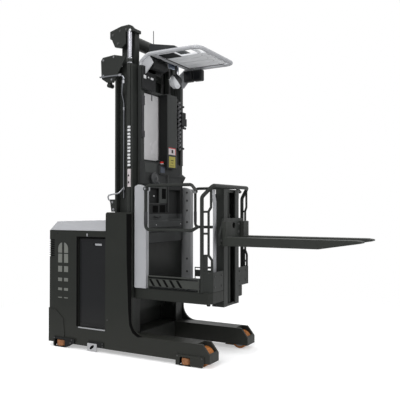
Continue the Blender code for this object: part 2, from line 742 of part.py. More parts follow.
def chassis_body():
    """Rear chassis shell with bumper skirt, battery bay, louvres and side fittings."""
    shell = box((BODY_REAR_X, -BODY_HALF, CHASSIS_BOTTOM), (BODY_FRONT_X, BODY_HALF, BODY_TOP))
    skirt = plate([(REAR_X, CHASSIS_BOTTOM), (SKIRT_FRONT_X + 0.02, CHASSIS_BOTTOM),
                   (SKIRT_FRONT_X, SKIRT_SLOPE_Z), (SKIRT_STEP_X, SKIRT_TOP - 0.01), (REAR_X, SKIRT_TOP)],
                  "xz", -HALF_WIDTH, HALF_WIDTH)
    shell = union(shell, skirt)
    inner = box((BODY_REAR_X + BODY_WALL, BODY_WALL - BODY_HALF, -0.1),
                (BODY_FRONT_X - BODY_WALL, BODY_HALF - BODY_WALL, BODY_TOP + 0.1))
    shell = cut(shell, inner)
    tray = box((BAY_REAR_X - BULKHEAD, -(BODY_HALF - 0.01), TRAY_BOTTOM),
               (BODY_FRONT_X - 0.01, BODY_HALF - 0.01, TRAY_TOP))
    bulkhead = box((BAY_REAR_X - BULKHEAD, -(BODY_HALF - 0.01), TRAY_BOTTOM + 0.01),
                   (BAY_REAR_X, BODY_HALF - 0.01, BODY_TOP - 0.03))
    shell = union(shell, tray, bulkhead)
    for label, side in SIDES:
        rear = GUIDE_UNITS["rear"]
        outer, window = guide_bracket(side, rear, BODY_HALF)
        face, block = slot_plate(side)
        shell = union(shell, outer, block)
        shell = cut(shell, guide_pocket(side, rear), window)
        ceiling = side_box(side, (rear["x"] - 0.05, rear["x"] + 0.05),
                           (GUIDE_STICKOUT - rear["radius"] - 0.03, BODY_HALF - 0.005),
                           (GUIDE_POCKET_TOP, GUIDE_POCKET_TOP + 0.015))
        lip, pin = guide_lip(side, rear)
        shell = union(shell, ceiling, lip, pin, face)
        opening = side_box(side, (DOOR_REAR_X, DOOR_FRONT_X), (BODY_HALF - 0.04, BODY_HALF + 0.05),
                           (DOOR_LOW_Z, DOOR_HIGH_Z))
        shell = cut(shell, opening)
        pin_y = side * (BODY_HALF - DOOR_RECESS - DOOR_THICKNESS / 2)
        pin_x = DOOR_REAR_X + DOOR_SIDE_GAP + DOOR_PIVOT_INSET
        for low, high in ((DOOR_LOW_Z - DOOR_PIN_LENGTH, DOOR_LOW_Z + 0.01),
                          (DOOR_HIGH_Z - 0.01, DOOR_HIGH_Z + DOOR_PIN_LENGTH)):
            shell = cut(shell, rod_between(DOOR_PIN_RADIUS + PIN_GAP, low, high, (pin_x, pin_y), "z", 16))
        for index in range(LOUVRE_COUNT):
            low = LOUVRE_LOW_Z + index * LOUVRE_PITCH
            slot = side_box(side, (BODY_REAR_X - 0.02, BODY_REAR_X + LOUVRE_LENGTH),
                            (BODY_HALF - 0.012, BODY_HALF + 0.02), (low, low + LOUVRE_HEIGHT))
            shell = cut(shell, slot)
    for index in range(LOUVRE_COUNT):
        low = LOUVRE_LOW_Z + index * LOUVRE_PITCH
        slot = box((BODY_REAR_X - 0.02, -REAR_GRILLE_HALF, low),
                   (BODY_REAR_X + BODY_WALL + 0.02, REAR_GRILLE_HALF, low + LOUVRE_HEIGHT))
        shell = cut(shell, slot)
    return finish("chassis_body", shell, "chassis_green")


def hood_block(inset, front, bottom):
    """Block with sloping sides and a top that rises to the front, drawn in by a wall."""
    work = bmesh.new()
    bmesh.ops.create_cube(work, size=1.0)
    for vert in work.verts:
        high = vert.co.z > 0
        draw_in = inset + (HOOD_INSET if high else 0.0)
        top = (HOOD_FRONT_TOP if vert.co.x > 0 else HOOD_REAR_TOP) - inset
        vert.co.x = front if vert.co.x > 0 else BODY_REAR_X + draw_in
        vert.co.y = math.copysign(BODY_HALF - draw_in, vert.co.y)
        vert.co.z = top if high else bottom
    return from_bmesh("hood", work)


def hood():
    """Light hood with sloping sides, higher at the mast, open below and hinged at its rear lower edge."""
    front = LEG_REAR_X - HOOD_FRONT_GAP
    bottom = BODY_TOP + FIT
    cover = hood_block(0.0, front, bottom)
    room = hood_block(HOOD_WALL, front - HOOD_WALL, bottom - HOOD_WALL)
    pivot = (BODY_REAR_X - HOOD_SHAFT_OFFSET, 0.0, BODY_TOP + HOOD_HINGE_RISE)
    return finish("hood", bevel(cut(cover, room), 0.006, 2), "light_grey", pivot)


def battery_door(label, side):
    """Recessed door with a frame, a lock hole and pivot pins above and below."""
    rear = DOOR_REAR_X + DOOR_SIDE_GAP
    front = DOOR_FRONT_X - DOOR_END_GAP
    outer_y = BODY_HALF - DOOR_RECESS
    inner_y = outer_y - DOOR_THICKNESS
    low = DOOR_LOW_Z + DOOR_END_GAP
    high = DOOR_HIGH_Z - DOOR_END_GAP
    leaf = side_box(side, (rear, front), (inner_y, outer_y), (low, high))
    field = side_box(side, (rear + 0.012, front - 0.012), (outer_y - 0.004, outer_y + 0.02),
                     (low + 0.030, high - 0.030))
    lock = rod_between(DOOR_LOCK_RADIUS, *across(side, outer_y - 0.014, outer_y + 0.02),
                       (DOOR_LOCK_X, DOOR_LOCK_Z), "y", 16)
    leaf = cut(leaf, field, lock)
    pin_x = rear + DOOR_PIVOT_INSET
    pin_y = side * (outer_y - DOOR_THICKNESS / 2)
    reach = DOOR_END_GAP + DOOR_PIN_LENGTH - 0.002
    leaf = union(leaf, rod_between(DOOR_PIN_RADIUS, low - reach, low + 0.01, (pin_x, pin_y), "z", 16),
                 rod_between(DOOR_PIN_RADIUS, high - 0.01, high + reach, (pin_x, pin_y), "z", 16))
    return finish(f"battery_door_{label}", leaf, "door_blue", (pin_x, pin_y, (low + high) / 2))


def battery():
    """Traction battery as one plain block on its tray."""
    middle = (BAY_REAR_X + BODY_FRONT_X - BODY_WALL) / 2
    block = box((middle - BATTERY_LENGTH / 2, -BATTERY_HALF, TRAY_TOP + FIT),
                (middle + BATTERY_LENGTH / 2, BATTERY_HALF, BATTERY_TOP))
    return finish("battery", block, "battery_grey")


def drive_motor():
    """Traction motor upright on its mounting plate between the side walls."""
    wall = BODY_HALF - BODY_WALL - FIT
    deck = box((BODY_REAR_X + BODY_WALL + FIT, -wall, MOUNT_PLATE_Z),
               (BAY_REAR_X - BULKHEAD - FIT, wall, MOUNT_PLATE_Z + MOUNT_PLATE_THICKNESS))
    top = MOUNT_PLATE_Z + MOUNT_PLATE_THICKNESS
    motor = rod_between(MOTOR_RADIUS, top - 0.005, top + MOTOR_HEIGHT, (DRIVE_X, 0.0), "z", 32)
    cap = rod_between(MOTOR_RADIUS * 0.7, top + MOTOR_HEIGHT - 0.005, top + MOTOR_HEIGHT + 0.05,
                      (DRIVE_X, 0.0), "z", 24)
    return finish("drive_motor", union(deck, motor, cap), "iron")


def steer_leg():
    """Turning gear leg under the motor, with the drive wheel's axle."""
    top = MOUNT_PLATE_Z - FIT
    head = rod_between(TURNTABLE_RADIUS, top - TURNTABLE_HEIGHT, top, (DRIVE_X, 0.0), "z", 32)
    inner_y = DRIVE_WIDTH / 2 + RUN
    leg = box((DRIVE_X - STEER_LEG_HALF, inner_y, DRIVE_RADIUS - STEER_LEG_HALF),
              (DRIVE_X + STEER_LEG_HALF, inner_y + STEER_LEG_THICKNESS, top - 0.01))
    leg = bevel(leg, 0.012, 2)
    axle = rod_between(DRIVE_AXLE_RADIUS, -DRIVE_WIDTH / 2, inner_y + 0.01, (DRIVE_X, DRIVE_RADIUS), "y", 24)
    return finish("steer_leg", union(head, leg, axle), "iron", (DRIVE_X, 0.0, top))


def turned(profile, sides):
    """Ring turned about the local Y axis from a closed profile of (radius, y) points."""
    work = bmesh.new()
    rings = []
    for index in range(sides):
        turn = 2 * math.pi * index / sides
        rings.append([work.verts.new((r * math.cos(turn), y, r * math.sin(turn))) for r, y in profile])
    for index, ring in enumerate(rings):
        after = rings[(index + 1) % sides]
        for k in range(len(profile)):
            n = (k + 1) % len(profile)
            work.faces.new((ring[k], ring[n], after[n], after[k]))
    bmesh.ops.recalc_face_normals(work, faces=work.faces)
    return from_bmesh("turned", work)


def place_at(item, centre):
    item.data.transform(Matrix.Translation(centre))
    return item


def drive_wheel():
    """Solid drive wheel: tread, rim step and bore."""
    half = DRIVE_WIDTH / 2
    bore = DRIVE_AXLE_RADIUS + PIN_GAP
    profile = [(bore, -half + 0.004), (0.060, -half + 0.004), (0.066, -half + 0.016), (0.118, -half + 0.016),
               (0.122, -half), (DRIVE_RADIUS - 0.006, -half), (DRIVE_RADIUS, -half + 0.008),
               (DRIVE_RADIUS, half - 0.008), (DRIVE_RADIUS - 0.006, half), (0.122, half),
               (0.118, half - 0.016), (0.066, half - 0.016), (0.060, half - 0.004), (bore, half - 0.004)]
    centre = (DRIVE_X, 0.0, DRIVE_RADIUS)
    wheel = place_at(turned(profile, 32), centre)
    return finish("drive_wheel", wheel, "orange_tread", centre)


# Front legs

def leg_outline():
    """Side view of one front leg with the mast foot plate and its fillet."""
    fillet_centre = (FOOT_FRONT_X + FOOT_FILLET, LEG_TOP + FOOT_FILLET)
    fillet = []
    for index in range(9):
        turn = math.pi + index * (math.pi / 2) / 8
        fillet.append((fillet_centre[0] + FOOT_FILLET * math.cos(turn),
                       fillet_centre[1] + FOOT_FILLET * math.sin(turn)))
    corner = rounded([(LEG_REAR_X, FOOT_TOP), (FOOT_FRONT_X, FOOT_TOP), (FOOT_FRONT_X, 0.8), (LEG_REAR_X, 0.8)],
                     FOOT_CORNER, 4)[:10]
    return [(LEG_REAR_X, CHASSIS_BOTTOM), *corner, *fillet, (LEG_SLOPE_X, LEG_TOP),
            (LEG_TIP_X, LEG_TIP_TOP), (LEG_TIP_X, CHASSIS_BOTTOM)]


def leg(label, side):
    """Front leg: foot plate, box arm, wheel well, load axle and the guide roller's bracket."""
    foot = plate(leg_outline(), "xz", *across(side, HALF_WIDTH - SIDE_PLATE, HALF_WIDTH))
    arm_outline = [(LEG_REAR_X, CHASSIS_BOTTOM), (LEG_REAR_X, LEG_TOP), (LEG_SLOPE_X, LEG_TOP),
                   (LEG_TIP_X, LEG_TIP_TOP), (LEG_TIP_X, CHASSIS_BOTTOM)]
    arm = plate(arm_outline, "xz", *across(side, LEG_INNER, HALF_WIDTH - SIDE_PLATE / 2))
    body = union(foot, arm)
    well_y = (LEG_INNER + SIDE_PLATE, HALF_WIDTH - SIDE_PLATE)
    well_front = LEG_TIP_X - LEG_TIP_WALL
    well = side_box(side, (WELL_REAR_X, well_front), well_y, (-0.1, LEG_TOP - LEG_ROOF))
    opening = side_box(side, (WELL_OPEN_X, well_front), well_y, (0.1, LEG_TOP + 0.1))
    front = GUIDE_UNITS["front"]
    outer, window = guide_bracket(side, front, HALF_WIDTH)
    body = cut(body, well, opening)
    body = union(body, outer)
    body = cut(body, guide_pocket(side, front), window)
    lip, pin = guide_lip(side, front)
    axle = rod_between(LOAD_AXLE_RADIUS, *across(side, LEG_INNER + 0.004, HALF_WIDTH - 0.004),
                       (LOAD_X, LOAD_RADIUS), "y", 20)
    return finish(f"leg_{label}", union(body, lip, pin, axle), "chassis_green")


def load_wheels(label, side):
    """Twin load wheels on one sleeve."""
    bore = LOAD_AXLE_RADIUS + PIN_GAP
    half_gap = LOAD_GAP / 2
    outer = half_gap + LOAD_TREAD
    edge = 0.006
    profile = [(bore, -outer), (0.046, -outer), (0.052, -outer + 0.004), (0.064, -outer + 0.004),
               (LOAD_RADIUS - edge, -outer + 0.001), (LOAD_RADIUS, -outer + edge),
               (LOAD_RADIUS, -half_gap - edge), (LOAD_RADIUS - edge, -half_gap),
               (LOAD_SLEEVE_RADIUS, -half_gap)]
    profile += [(radius, -y) for radius, y in reversed(profile)]
    centre = (LOAD_X, side * (HALF_WIDTH - SIDE_PLATE + LEG_INNER + SIDE_PLATE) / 2, LOAD_RADIUS)
    wheels = place_at(turned(profile, 28), centre)
    return finish(f"load_wheels_{label}", wheels, "orange_tread", centre)


def guide_roller(place, label, side):
    """Side guide roller on an upright pin."""
    unit = GUIDE_UNITS[place]
    bore = GUIDE_PIN_RADIUS + PIN_GAP
    radius = unit["radius"]
    low = GUIDE_LOW_Z - RUN + FIT
    centre = (unit["x"], side * (GUIDE_STICKOUT - radius), low)
    ring = rod_between(radius, GUIDE_LOW_Z, GUIDE_LOW_Z + GUIDE_HEIGHT, centre[:2], "z", 24)
    washer = rod_between(0.020, low, GUIDE_LOW_Z + 0.002, centre[:2], "z", 20)
    roller = union(bevel(ring, 0.005, 2), washer)
    roller = cut(roller, rod_between(bore, -0.1, 0.2, centre[:2], "z", 16))
    return finish(f"guide_roller_{place}_{label}", roller, "orange_tread", centre)


# Mast

def rail_outline(side):
    """Plan of an outer mast rail: two flanges and a web, with grooves on both sides."""
    web_in, web_out = RAIL_WEB_Y
    rear_in = RAIL_REAR_X + RAIL_FLANGE
    front_in = RAIL_FRONT_X - RAIL_FLANGE
    half = [(RAIL_REAR_X, RAIL_IN_Y), (rear_in, RAIL_IN_Y), (rear_in, web_in), (front_in, web_in),
            (front_in, RAIL_IN_Y), (RAIL_FRONT_X, RAIL_IN_Y), (RAIL_FRONT_X, RAIL_OUT_Y),
            (front_in, RAIL_OUT_Y), (front_in, web_out), (rear_in, web_out), (rear_in, RAIL_OUT_Y),
            (RAIL_REAR_X, RAIL_OUT_Y)]
    return [(x, side * y) for x, y in half]


def outer_mast():
    """Outer mast: two rails, cross members behind them and the base between the legs."""
    pieces = [plate(rail_outline(side), "xy", LEG_TOP + FIT, OUTER_MAST_TOP) for label, side in SIDES]
    for low, high in OUTER_CROSS:
        pieces.append(box((RAIL_REAR_X + SINK - CROSS_THICKNESS, -RAIL_OUT_Y + 0.01, low),
                          (RAIL_REAR_X + SINK, RAIL_OUT_Y - 0.01, high)))
    base = box((LEG_REAR_X, -LEG_INNER + FIT, BASE_BOTTOM), (RAIL_FRONT_X, LEG_INNER - FIT, BASE_TOP))
    tie = box((RAIL_REAR_X - CROSS_THICKNESS + 0.003, -TIE_HALF, BASE_TOP - 0.05),
              (RAIL_REAR_X - SINK, TIE_HALF, BASE_TOP + 0.08))
    return finish("outer_mast", union(base, tie, *pieces[2:], pieces[0], pieces[1]), "mast_green")


def inner_outline(side):
    """Plan of an inner mast rail: a channel open towards the carriage."""
    rear = RAIL_REAR_X + RAIL_FLANGE + INNER_GAP
    front = RAIL_FRONT_X - RAIL_FLANGE - INNER_GAP
    web = INNER_OUT_Y - INNER_WEB
    half = [(rear, INNER_IN_Y), (rear + INNER_FLANGE, INNER_IN_Y), (rear + INNER_FLANGE, web),
            (front - INNER_FLANGE, web), (front - INNER_FLANGE, INNER_IN_Y), (front, INNER_IN_Y),
            (front, INNER_OUT_Y), (rear, INNER_OUT_Y)]
    return [(x, side * y) for x, y in half]


def inner_mast():
    """Inner mast: two channels, cross plates, the round top beam and the heads over the rods."""
    pieces = [plate(inner_outline(side), "xy", INNER_BOTTOM, INNER_TOP) for label, side in SIDES]
    rear = RAIL_REAR_X + RAIL_FLANGE + INNER_GAP
    crosses = [box((rear + SINK, -INNER_OUT_Y + 0.01, low), (rear + INNER_FLANGE - SINK, INNER_OUT_Y - 0.01, high))
               for low, high in INNER_CROSS]
    beam = rod_between(TOP_BEAM_RADIUS, -INNER_OUT_Y + 0.006, INNER_OUT_Y - 0.006,
                       (TOP_BEAM_X, TOP_BEAM_Z), "y", 32)
    item = union(pieces[0], *crosses, pieces[1], beam)
    for label, side in SIDES:
        y = (LIFT_Y - HEAD_THICKNESS / 2, LIFT_Y + HEAD_THICKNESS / 2)
        hook = plate(list(HEAD_OUTLINE), "xz", *across(side, *y))
        cap = side_box(side, HEAD_CAP_X, (INNER_IN_Y, y[1] - SINK), HEAD_CAP_Z)
        stub = rod_between(TOP_BEAM_RADIUS * 0.7, *across(side, INNER_OUT_Y - 0.010, y[0] + SINK_DEEP),
                           (TOP_BEAM_X - 0.012, TOP_BEAM_Z), "y", 16)
        item = union(item, cap, stub, hook)
    return finish("inner_mast", item, "mast_green", (TOP_BEAM_X, 0.0, INNER_BOTTOM))


def lift_cylinder(label, side):
    """Lift cylinder tube in the outer groove of a rail, open at its top."""
    centre = (LIFT_X, side * LIFT_Y)
    body = rod_between(LIFT_TUBE_RADIUS, LEG_TOP + FIT, LIFT_TUBE_TOP, centre, "z", 24)
    gland = rod_between(LIFT_GLAND_RADIUS, LIFT_TUBE_TOP - LIFT_GLAND_HEIGHT, LIFT_TUBE_TOP, centre, "z", 24)
    bore = rod_between(LIFT_BORE_RADIUS, LIFT_BORE_LOW, LIFT_TUBE_TOP + 0.1, centre, "z", 24)
    guide = rod_between(LIFT_ROD_RADIUS + PIN_GAP, LIFT_TUBE_TOP - 0.03, LIFT_TUBE_TOP + 0.1, centre, "z", 24)
    body = cut(union(body, gland), bore)
    ring = cut(rod_between(LIFT_GLAND_RADIUS - 0.001, LIFT_TUBE_TOP - 0.02, LIFT_TUBE_TOP - 0.002, centre, "z", 24),
               guide)
    return finish(f"lift_cylinder_{label}", union(body, ring), "mast_green")


def lift_rod(label, side):
    """Chrome rod from deep in its cylinder up to the mast head."""
    bar = rod_between(LIFT_ROD_RADIUS, LIFT_ROD_LOW, HEAD_CAP_Z[0] - FIT, (LIFT_X, side * LIFT_Y), "z", 24)
    return finish(f"lift_rod_{label}", bar, "chrome", (LIFT_X, side * LIFT_Y, LIFT_ROD_LOW))


def lift_chain(label, side):
    """Chain sheave on its stub axle, with the two falls of the lift chain."""
    middle = (RAIL_REAR_X + RAIL_FRONT_X) / 2
    wheel = rod(SHEAVE_RADIUS, (middle, side * CHAIN_Y, SHEAVE_Z), SHEAVE_WIDTH, "y", 24)
    axle = rod_between(SHEAVE_AXLE, *across(side, CHAIN_Y - 0.018, INNER_OUT_Y - INNER_WEB - FIT),
                       (middle, SHEAVE_Z), "y", 16)
    item = union(wheel, axle)
    for sign in (-1, 1):
        outer = middle + sign * (SHEAVE_RADIUS + CHAIN_THICKNESS)
        inner = middle + sign * (SHEAVE_RADIUS - 0.001)
        x_low, x_high = sorted((outer, inner))
        fall = side_box(side, (x_low, x_high), (CHAIN_Y - CHAIN_WIDTH / 2, CHAIN_Y + CHAIN_WIDTH / 2),
                        (CHAIN_LOW_Z, SHEAVE_Z))
        item = union(item, fall)
    turn = [(middle + (SHEAVE_RADIUS + CHAIN_THICKNESS) * math.cos(math.pi * i / 12),
             SHEAVE_Z - 0.0005 + (SHEAVE_RADIUS + CHAIN_THICKNESS) * math.sin(math.pi * i / 12))
            for i in range(13)]
    wrap = plate(turn, "xz", *across(side, CHAIN_Y - CHAIN_WIDTH / 2, CHAIN_Y + CHAIN_WIDTH / 2))
    return finish(f"lift_chain_{label}", union(item, wrap), "iron", (middle, side * CHAIN_Y, SHEAVE_Z))


def hose_box():
    """Hose guard behind the near rail's top, with its side plate and a small hose roller."""
    z_low, z_high = HOSE_BOX_Z
    skin_in = RAIL_OUT_Y + FIT
    skin = plate(list(HOSE_SKIN_OUTLINE), "xz", -(skin_in + HOSE_SKIN), -skin_in)
    deep = box((HOSE_BOX_REAR_X, -(skin_in + 0.002), z_low),
               (RAIL_REAR_X + SINK - CROSS_THICKNESS - FIT, HOSE_BOX_DEPTH - RAIL_OUT_Y, z_high))
    hanger = box((HOSE_ROLLER_X - HOSE_HANGER_HALF, -RAIL_OUT_Y - 0.002, HOSE_ROLLER_Z),
                 (HOSE_ROLLER_X + HOSE_HANGER_HALF, 0.035 - RAIL_OUT_Y, z_low + 0.02))
    roller = rod_between(HOSE_ROLLER_RADIUS, -skin_in - HOSE_SKIN / 2, HOSE_ROLLER_WIDTH - skin_in,
                         (HOSE_ROLLER_X, HOSE_ROLLER_Z), "y", 20)
    return finish("hose_box", union(skin, deep, hanger, roller), "mast_green")


def hydraulic_pipe():
    """Bright pipe along the hose guard and down the rail's groove."""
    out_y = -(RAIL_OUT_Y + FIT + HOSE_SKIN + FIT + PIPE_RADIUS)
    in_y = -(RAIL_WEB_Y[1] + FIT + PIPE_RADIUS)
    route = [(x, out_y, z) for x, z in PIPE_HIGH_ROUTE]
    route += [(x, y, z) for (x, z), y in zip(PIPE_LOW_ROUTE, (in_y - 0.020, in_y, in_y))]
    return finish("hydraulic_pipe", tube(round_path(route, 0.030, 3), PIPE_RADIUS), "steel")


# Cabin

def cab_floor():
    """Cabin floor with cut front corners, a recess for the fork mast and a foot under the near corner."""
    notch_x = FORK_MAST_X[0] - FIT
    notch_y = FORK_MAST_HALF + FIT
    near = [(CAB_REAR_X, FLOOR_HALF), *FLOOR_NEAR_CORNER]
    far = [(CAB_REAR_X, FLOOR_HALF), *FLOOR_FAR_CORNER]
    outline = [(x, -y) for x, y in near] + [(x, y) for x, y in reversed(far)]
    slab = bevel(plate(outline, "xy", FLOOR_TOP - FLOOR_DEPTH, FLOOR_TOP), 0.005, 1)
    slab = cut(slab, box((notch_x, -notch_y, 0.0), (FLOOR_FRONT_X + 0.1, notch_y, FLOOR_TOP + 0.1)))
    foot = rod_between(FOOT_ROD_RADIUS, FOOT_ROD_LOW, FLOOR_TOP - FLOOR_DEPTH + 0.01, FOOT_ROD_PLACE, "z", 20)
    return finish("cab_floor", union(slab, foot), "chassis_green")


def floor_mat():
    """Rubber mat on the cabin floor, with grooves across it."""
    rear = CAB_REAR_X + POST_DEPTH + 0.010
    side_y = FLOOR_HALF - MAT_EDGE
    outline = [(rear, -side_y), (MAT_FRONT_X, -side_y), (MAT_FRONT_X, 0.0), (MAT_FAR_X, side_y), (rear, side_y)]
    low = FLOOR_TOP + FIT
    mat = plate(outline, "xy", low, low + MAT_THICKNESS)
    groove_x = rear + MAT_RIB_PITCH
    while groove_x < MAT_FAR_X - MAT_RIB_PITCH / 2:
        groove = box((groove_x, -side_y - 0.1, low + MAT_THICKNESS / 2),
                     (groove_x + MAT_RIB_WIDTH, side_y + 0.1, low + MAT_THICKNESS * 2))
        mat = cut(mat, groove)
        groove_x += MAT_RIB_PITCH
    return finish("floor_mat", mat, "rubber")


def gate_pivot():
    return (GATE_REAR_X, GATE_TOP_Z - GATE_PIVOT_DROP)


def post_outline():
    """Side view of a light side post with its chamfered peak."""
    rear, front = CAB_REAR_X, CAB_REAR_X + POST_DEPTH
    shoulder = POST_TOP - POST_PEAK
    return [(rear, FLOOR_TOP + FIT), (front, FLOOR_TOP + FIT), (front, shoulder - POST_PEAK),
            (front - POST_PEAK, shoulder), (rear + POST_PEAK * 2, POST_TOP), (rear, shoulder)]


def cab_post(label, side):
    """Light side post at the mast side, with the lug and pin that carry the side gate."""
    pivot_x, pivot_z = gate_pivot()
    post = plate(post_outline(), "xz", *across(side, CAB_HALF - POST_WIDTH, CAB_HALF))
    post = bevel(post, 0.007, 2)
    lug = side_box(side, (CAB_REAR_X + POST_DEPTH - 0.010, pivot_x + 0.020), (CAB_HALF - 0.022, CAB_HALF - 0.0005),
                   (pivot_z - 0.022, pivot_z + 0.022))
    pin = rod_between(GATE_PIN_RADIUS, *across(side, CAB_HALF - 0.010, GATE_Y + GATE_TUBE - 0.004),
                      (pivot_x, pivot_z), "y", 16)
    return finish(f"cab_post_{label}", union(post, lug, pin), "light_grey")


def cab_frame():
    """Dark uprights to the roof, the bars above and below the screen, and the wiring duct in front of it."""
    x = (CAB_REAR_X, CAB_REAR_X + UPRIGHT_DEPTH)
    bar_x = CAB_REAR_X + SCREEN_BAR
    reach = UPRIGHT_Y[0] + 0.01
    uprights = [side_box(side, x, UPRIGHT_Y, (REAR_WALL_TOP + FIT, UPRIGHT_TOP)) for label, side in SIDES]
    top_bar = box((CAB_REAR_X, -reach, SCREEN_TOP + FIT), (bar_x, reach, SCREEN_TOP + 0.03))
    low_bar = box((CAB_REAR_X, -reach, REAR_WALL_TOP + FIT), (bar_x, reach, REAR_WALL_TOP + 0.012))
    duct = box((bar_x - 0.0015, DUCT_Y[0], DUCT_LOW_Z), (DUCT_FRONT_X, DUCT_Y[1], SCREEN_TOP + 0.012))
    return finish("cab_frame", union(top_bar, low_bar, bevel(duct, DUCT_CORNER, 2), *uprights), "mast_green")


def mast_screen():
    """Smoked clear screen between the operator and the mast."""
    low = REAR_WALL_TOP + 0.012 + FIT
    rear = CAB_REAR_X + 0.008
    pane = box((rear, -UPRIGHT_Y[0] + FIT, low), (rear + SCREEN_THICKNESS, UPRIGHT_Y[0] - FIT, SCREEN_TOP))
    return finish("mast_screen", pane, "smoked_screen")


def cab_carriage():
    """Lift carriage: side plates with rollers in the inner mast, cross bars and the cabin's rear wall."""
    roller_x = (RAIL_REAR_X + RAIL_FRONT_X) / 2
    wall_half = CAB_HALF - POST_WIDTH - FIT
    wall = box((CAB_REAR_X, -wall_half, FLOOR_TOP + FIT), (CAB_REAR_X + REAR_WALL, wall_half, REAR_WALL_TOP))
    bars = [box((CARRIAGE_REAR_X, -CARRIAGE_PLATE_Y[1] + 0.005, low),
                (CARRIAGE_REAR_X + 0.022, CARRIAGE_PLATE_Y[1] - 0.005, low + 0.10))
            for low in (CARRIAGE_Z[0] + 0.02, CARRIAGE_Z[1] - 0.12)]
    item = wall
    for label, side in SIDES:
        web = side_box(side, (CARRIAGE_REAR_X, CAB_REAR_X - FIT), CARRIAGE_PLATE_Y, CARRIAGE_Z)
        neck = side_box(side, (CAB_REAR_X - 0.02, CAB_REAR_X + 0.01), CARRIAGE_PLATE_Y,
                        (FLOOR_TOP + 0.01, CARRIAGE_Z[1]))
        item = union(item, web, neck)
        for height in CARRIAGE_ROLLER_Z:
            axle_y = (CARRIAGE_PLATE_Y[0] + 0.005, CARRIAGE_ROLLER_Y[0] + 0.01)
            axle = rod_between(CARRIAGE_AXLE_RADIUS, *across(side, *axle_y), (roller_x, height), "y", 16)
            roller = rod_between(CARRIAGE_ROLLER_RADIUS, *across(side, *CARRIAGE_ROLLER_Y),
                                 (roller_x, height), "y", 28)
            item = union(item, axle, roller)
    return finish("cab_carriage", union(item, *bars), "mast_green")


def console():
    """Moulded control console across the rear of the cabin, with recesses, a ledge and a control box."""
    back = CAB_REAR_X + REAR_WALL + FIT
    near = CONSOLE_HALF
    outline = [(back, CONSOLE_OUTLINE[0][1]), *CONSOLE_OUTLINE, (back, CONSOLE_TOP)]
    main = plate(outline, "xz", -near, CONSOLE_FAR_Y)
    for recess in CONSOLE_RECESSES:
        main = cut(main, box((recess["floor"], recess["y"][0], recess["z"][0]),
                             (back + 0.3, recess["y"][1], recess["z"][1])))
    room = box((back - 0.1, DUCT_Y[0] - FIT, DUCT_LOW_Z - FIT), (back + 0.3, DUCT_Y[1] + FIT, CONSOLE_TOP + 0.1))
    main = cut(main, room)
    side = box((back, CONSOLE_FAR_Y - 0.01, CONSOLE_OUTLINE[0][1]), (CONSOLE_FAR_X, near, CONSOLE_FACE[0][1]))
    rib = box((CONSOLE_FACE[0][0] - 0.02, CONSOLE_RIB_Y[0], CONSOLE_RIB_Z[0]),
              (CONSOLE_RIB_X, CONSOLE_RIB_Y[1], CONSOLE_RIB_Z[1]))
    lever_box = plate([(back, CONSOLE_BOX_OUTLINE[0][1]), *CONSOLE_BOX_OUTLINE, (back, CONSOLE_BOX_OUTLINE[-1][1])],
                      "xz", *CONSOLE_BOX_Y)
    panel = box((STOP_PANEL_X - 0.03, STOP_PANEL_Y[0], STOP_PANEL_Z[0]),
                (STOP_PANEL_X, STOP_PANEL_Y[1], STOP_PANEL_Z[1]))
    place = (STOP_BUTTON_X, STOP_BUTTON_Y)
    button = rod_between(STOP_BUTTON_RADIUS, sum(STOP_BUTTON_Z) / 2, STOP_BUTTON_Z[1], place, "z", 20)
    neck = rod_between(STOP_BUTTON_RADIUS * 0.6, STOP_BUTTON_Z[0] - 0.01, STOP_BUTTON_Z[1] - 0.005, place, "z", 16)
    return finish("console", union(main, side, rib, lever_box, panel, neck, button), "black")


def steering_knob():
    """Small steering wheel with a finger grip, square to the console's face."""
    low, high = Vector(CONSOLE_FACE[0]), Vector(CONSOLE_FACE[1])
    along = (high - low).normalized()
    foot = low.lerp(high, KNOB_SHARE)
    centre = Vector((foot.x, KNOB_Y, foot.y)) + Vector((along.y, 0.0, -along.x)) * (KNOB_STEM + FIT)
    turn = Matrix.Translation(centre) @ Matrix.Rotation(math.atan2(along.y, -along.x), 4, "Y")
    profile = [(0.0, 0.020), (0.018, 0.020), (KNOB_RADIUS - 0.016, 0.014), (KNOB_RADIUS - 0.006, 0.016),
               (KNOB_RADIUS, 0.010), (KNOB_RADIUS, 0.003), (KNOB_RADIUS - 0.006, -0.002), (0.018, 0.000),
               (0.018, -KNOB_STEM), (0.0, -KNOB_STEM)]
    work = bmesh.new()
    verts = [work.verts.new((r, 0.0, z)) for r, z in profile]
    edges = [work.edges.new((a, b)) for a, b in zip(verts, verts[1:])]
    bmesh.ops.spin(work, geom=verts + edges, cent=(0, 0, 0), axis=(0, 0, 1), angle=2 * math.pi, steps=20,
                   use_merge=True)
    bmesh.ops.remove_doubles(work, verts=work.verts, dist=0.00005)
    bmesh.ops.recalc_face_normals(work, faces=work.faces)
    wheel = from_bmesh("wheel", work)
    knob = rod(KNOB_GRIP_RADIUS, (KNOB_RADIUS - 0.016, 0.0, 0.030), KNOB_GRIP_HEIGHT, "z", 12)
    wheel = union(wheel, knob)
    wheel.data.transform(turn)
    return finish("steering_knob", wheel, "black", centre)


def coil_cable():
    """Coiled cable in its clips beside the far upright."""
    item = rod_between(COIL_RADIUS, *COIL_Z, (COIL_X, COIL_Y), "z", 16)
    for low, high in COIL_CLIPS:
        item = union(item, box((CAB_REAR_X + UPRIGHT_DEPTH - 0.012, COIL_Y, low),
                               (COIL_X + COIL_RADIUS * 0.6, UPRIGHT_Y[0] - FIT, high)))
    return finish("coil_cable", item, "rubber")


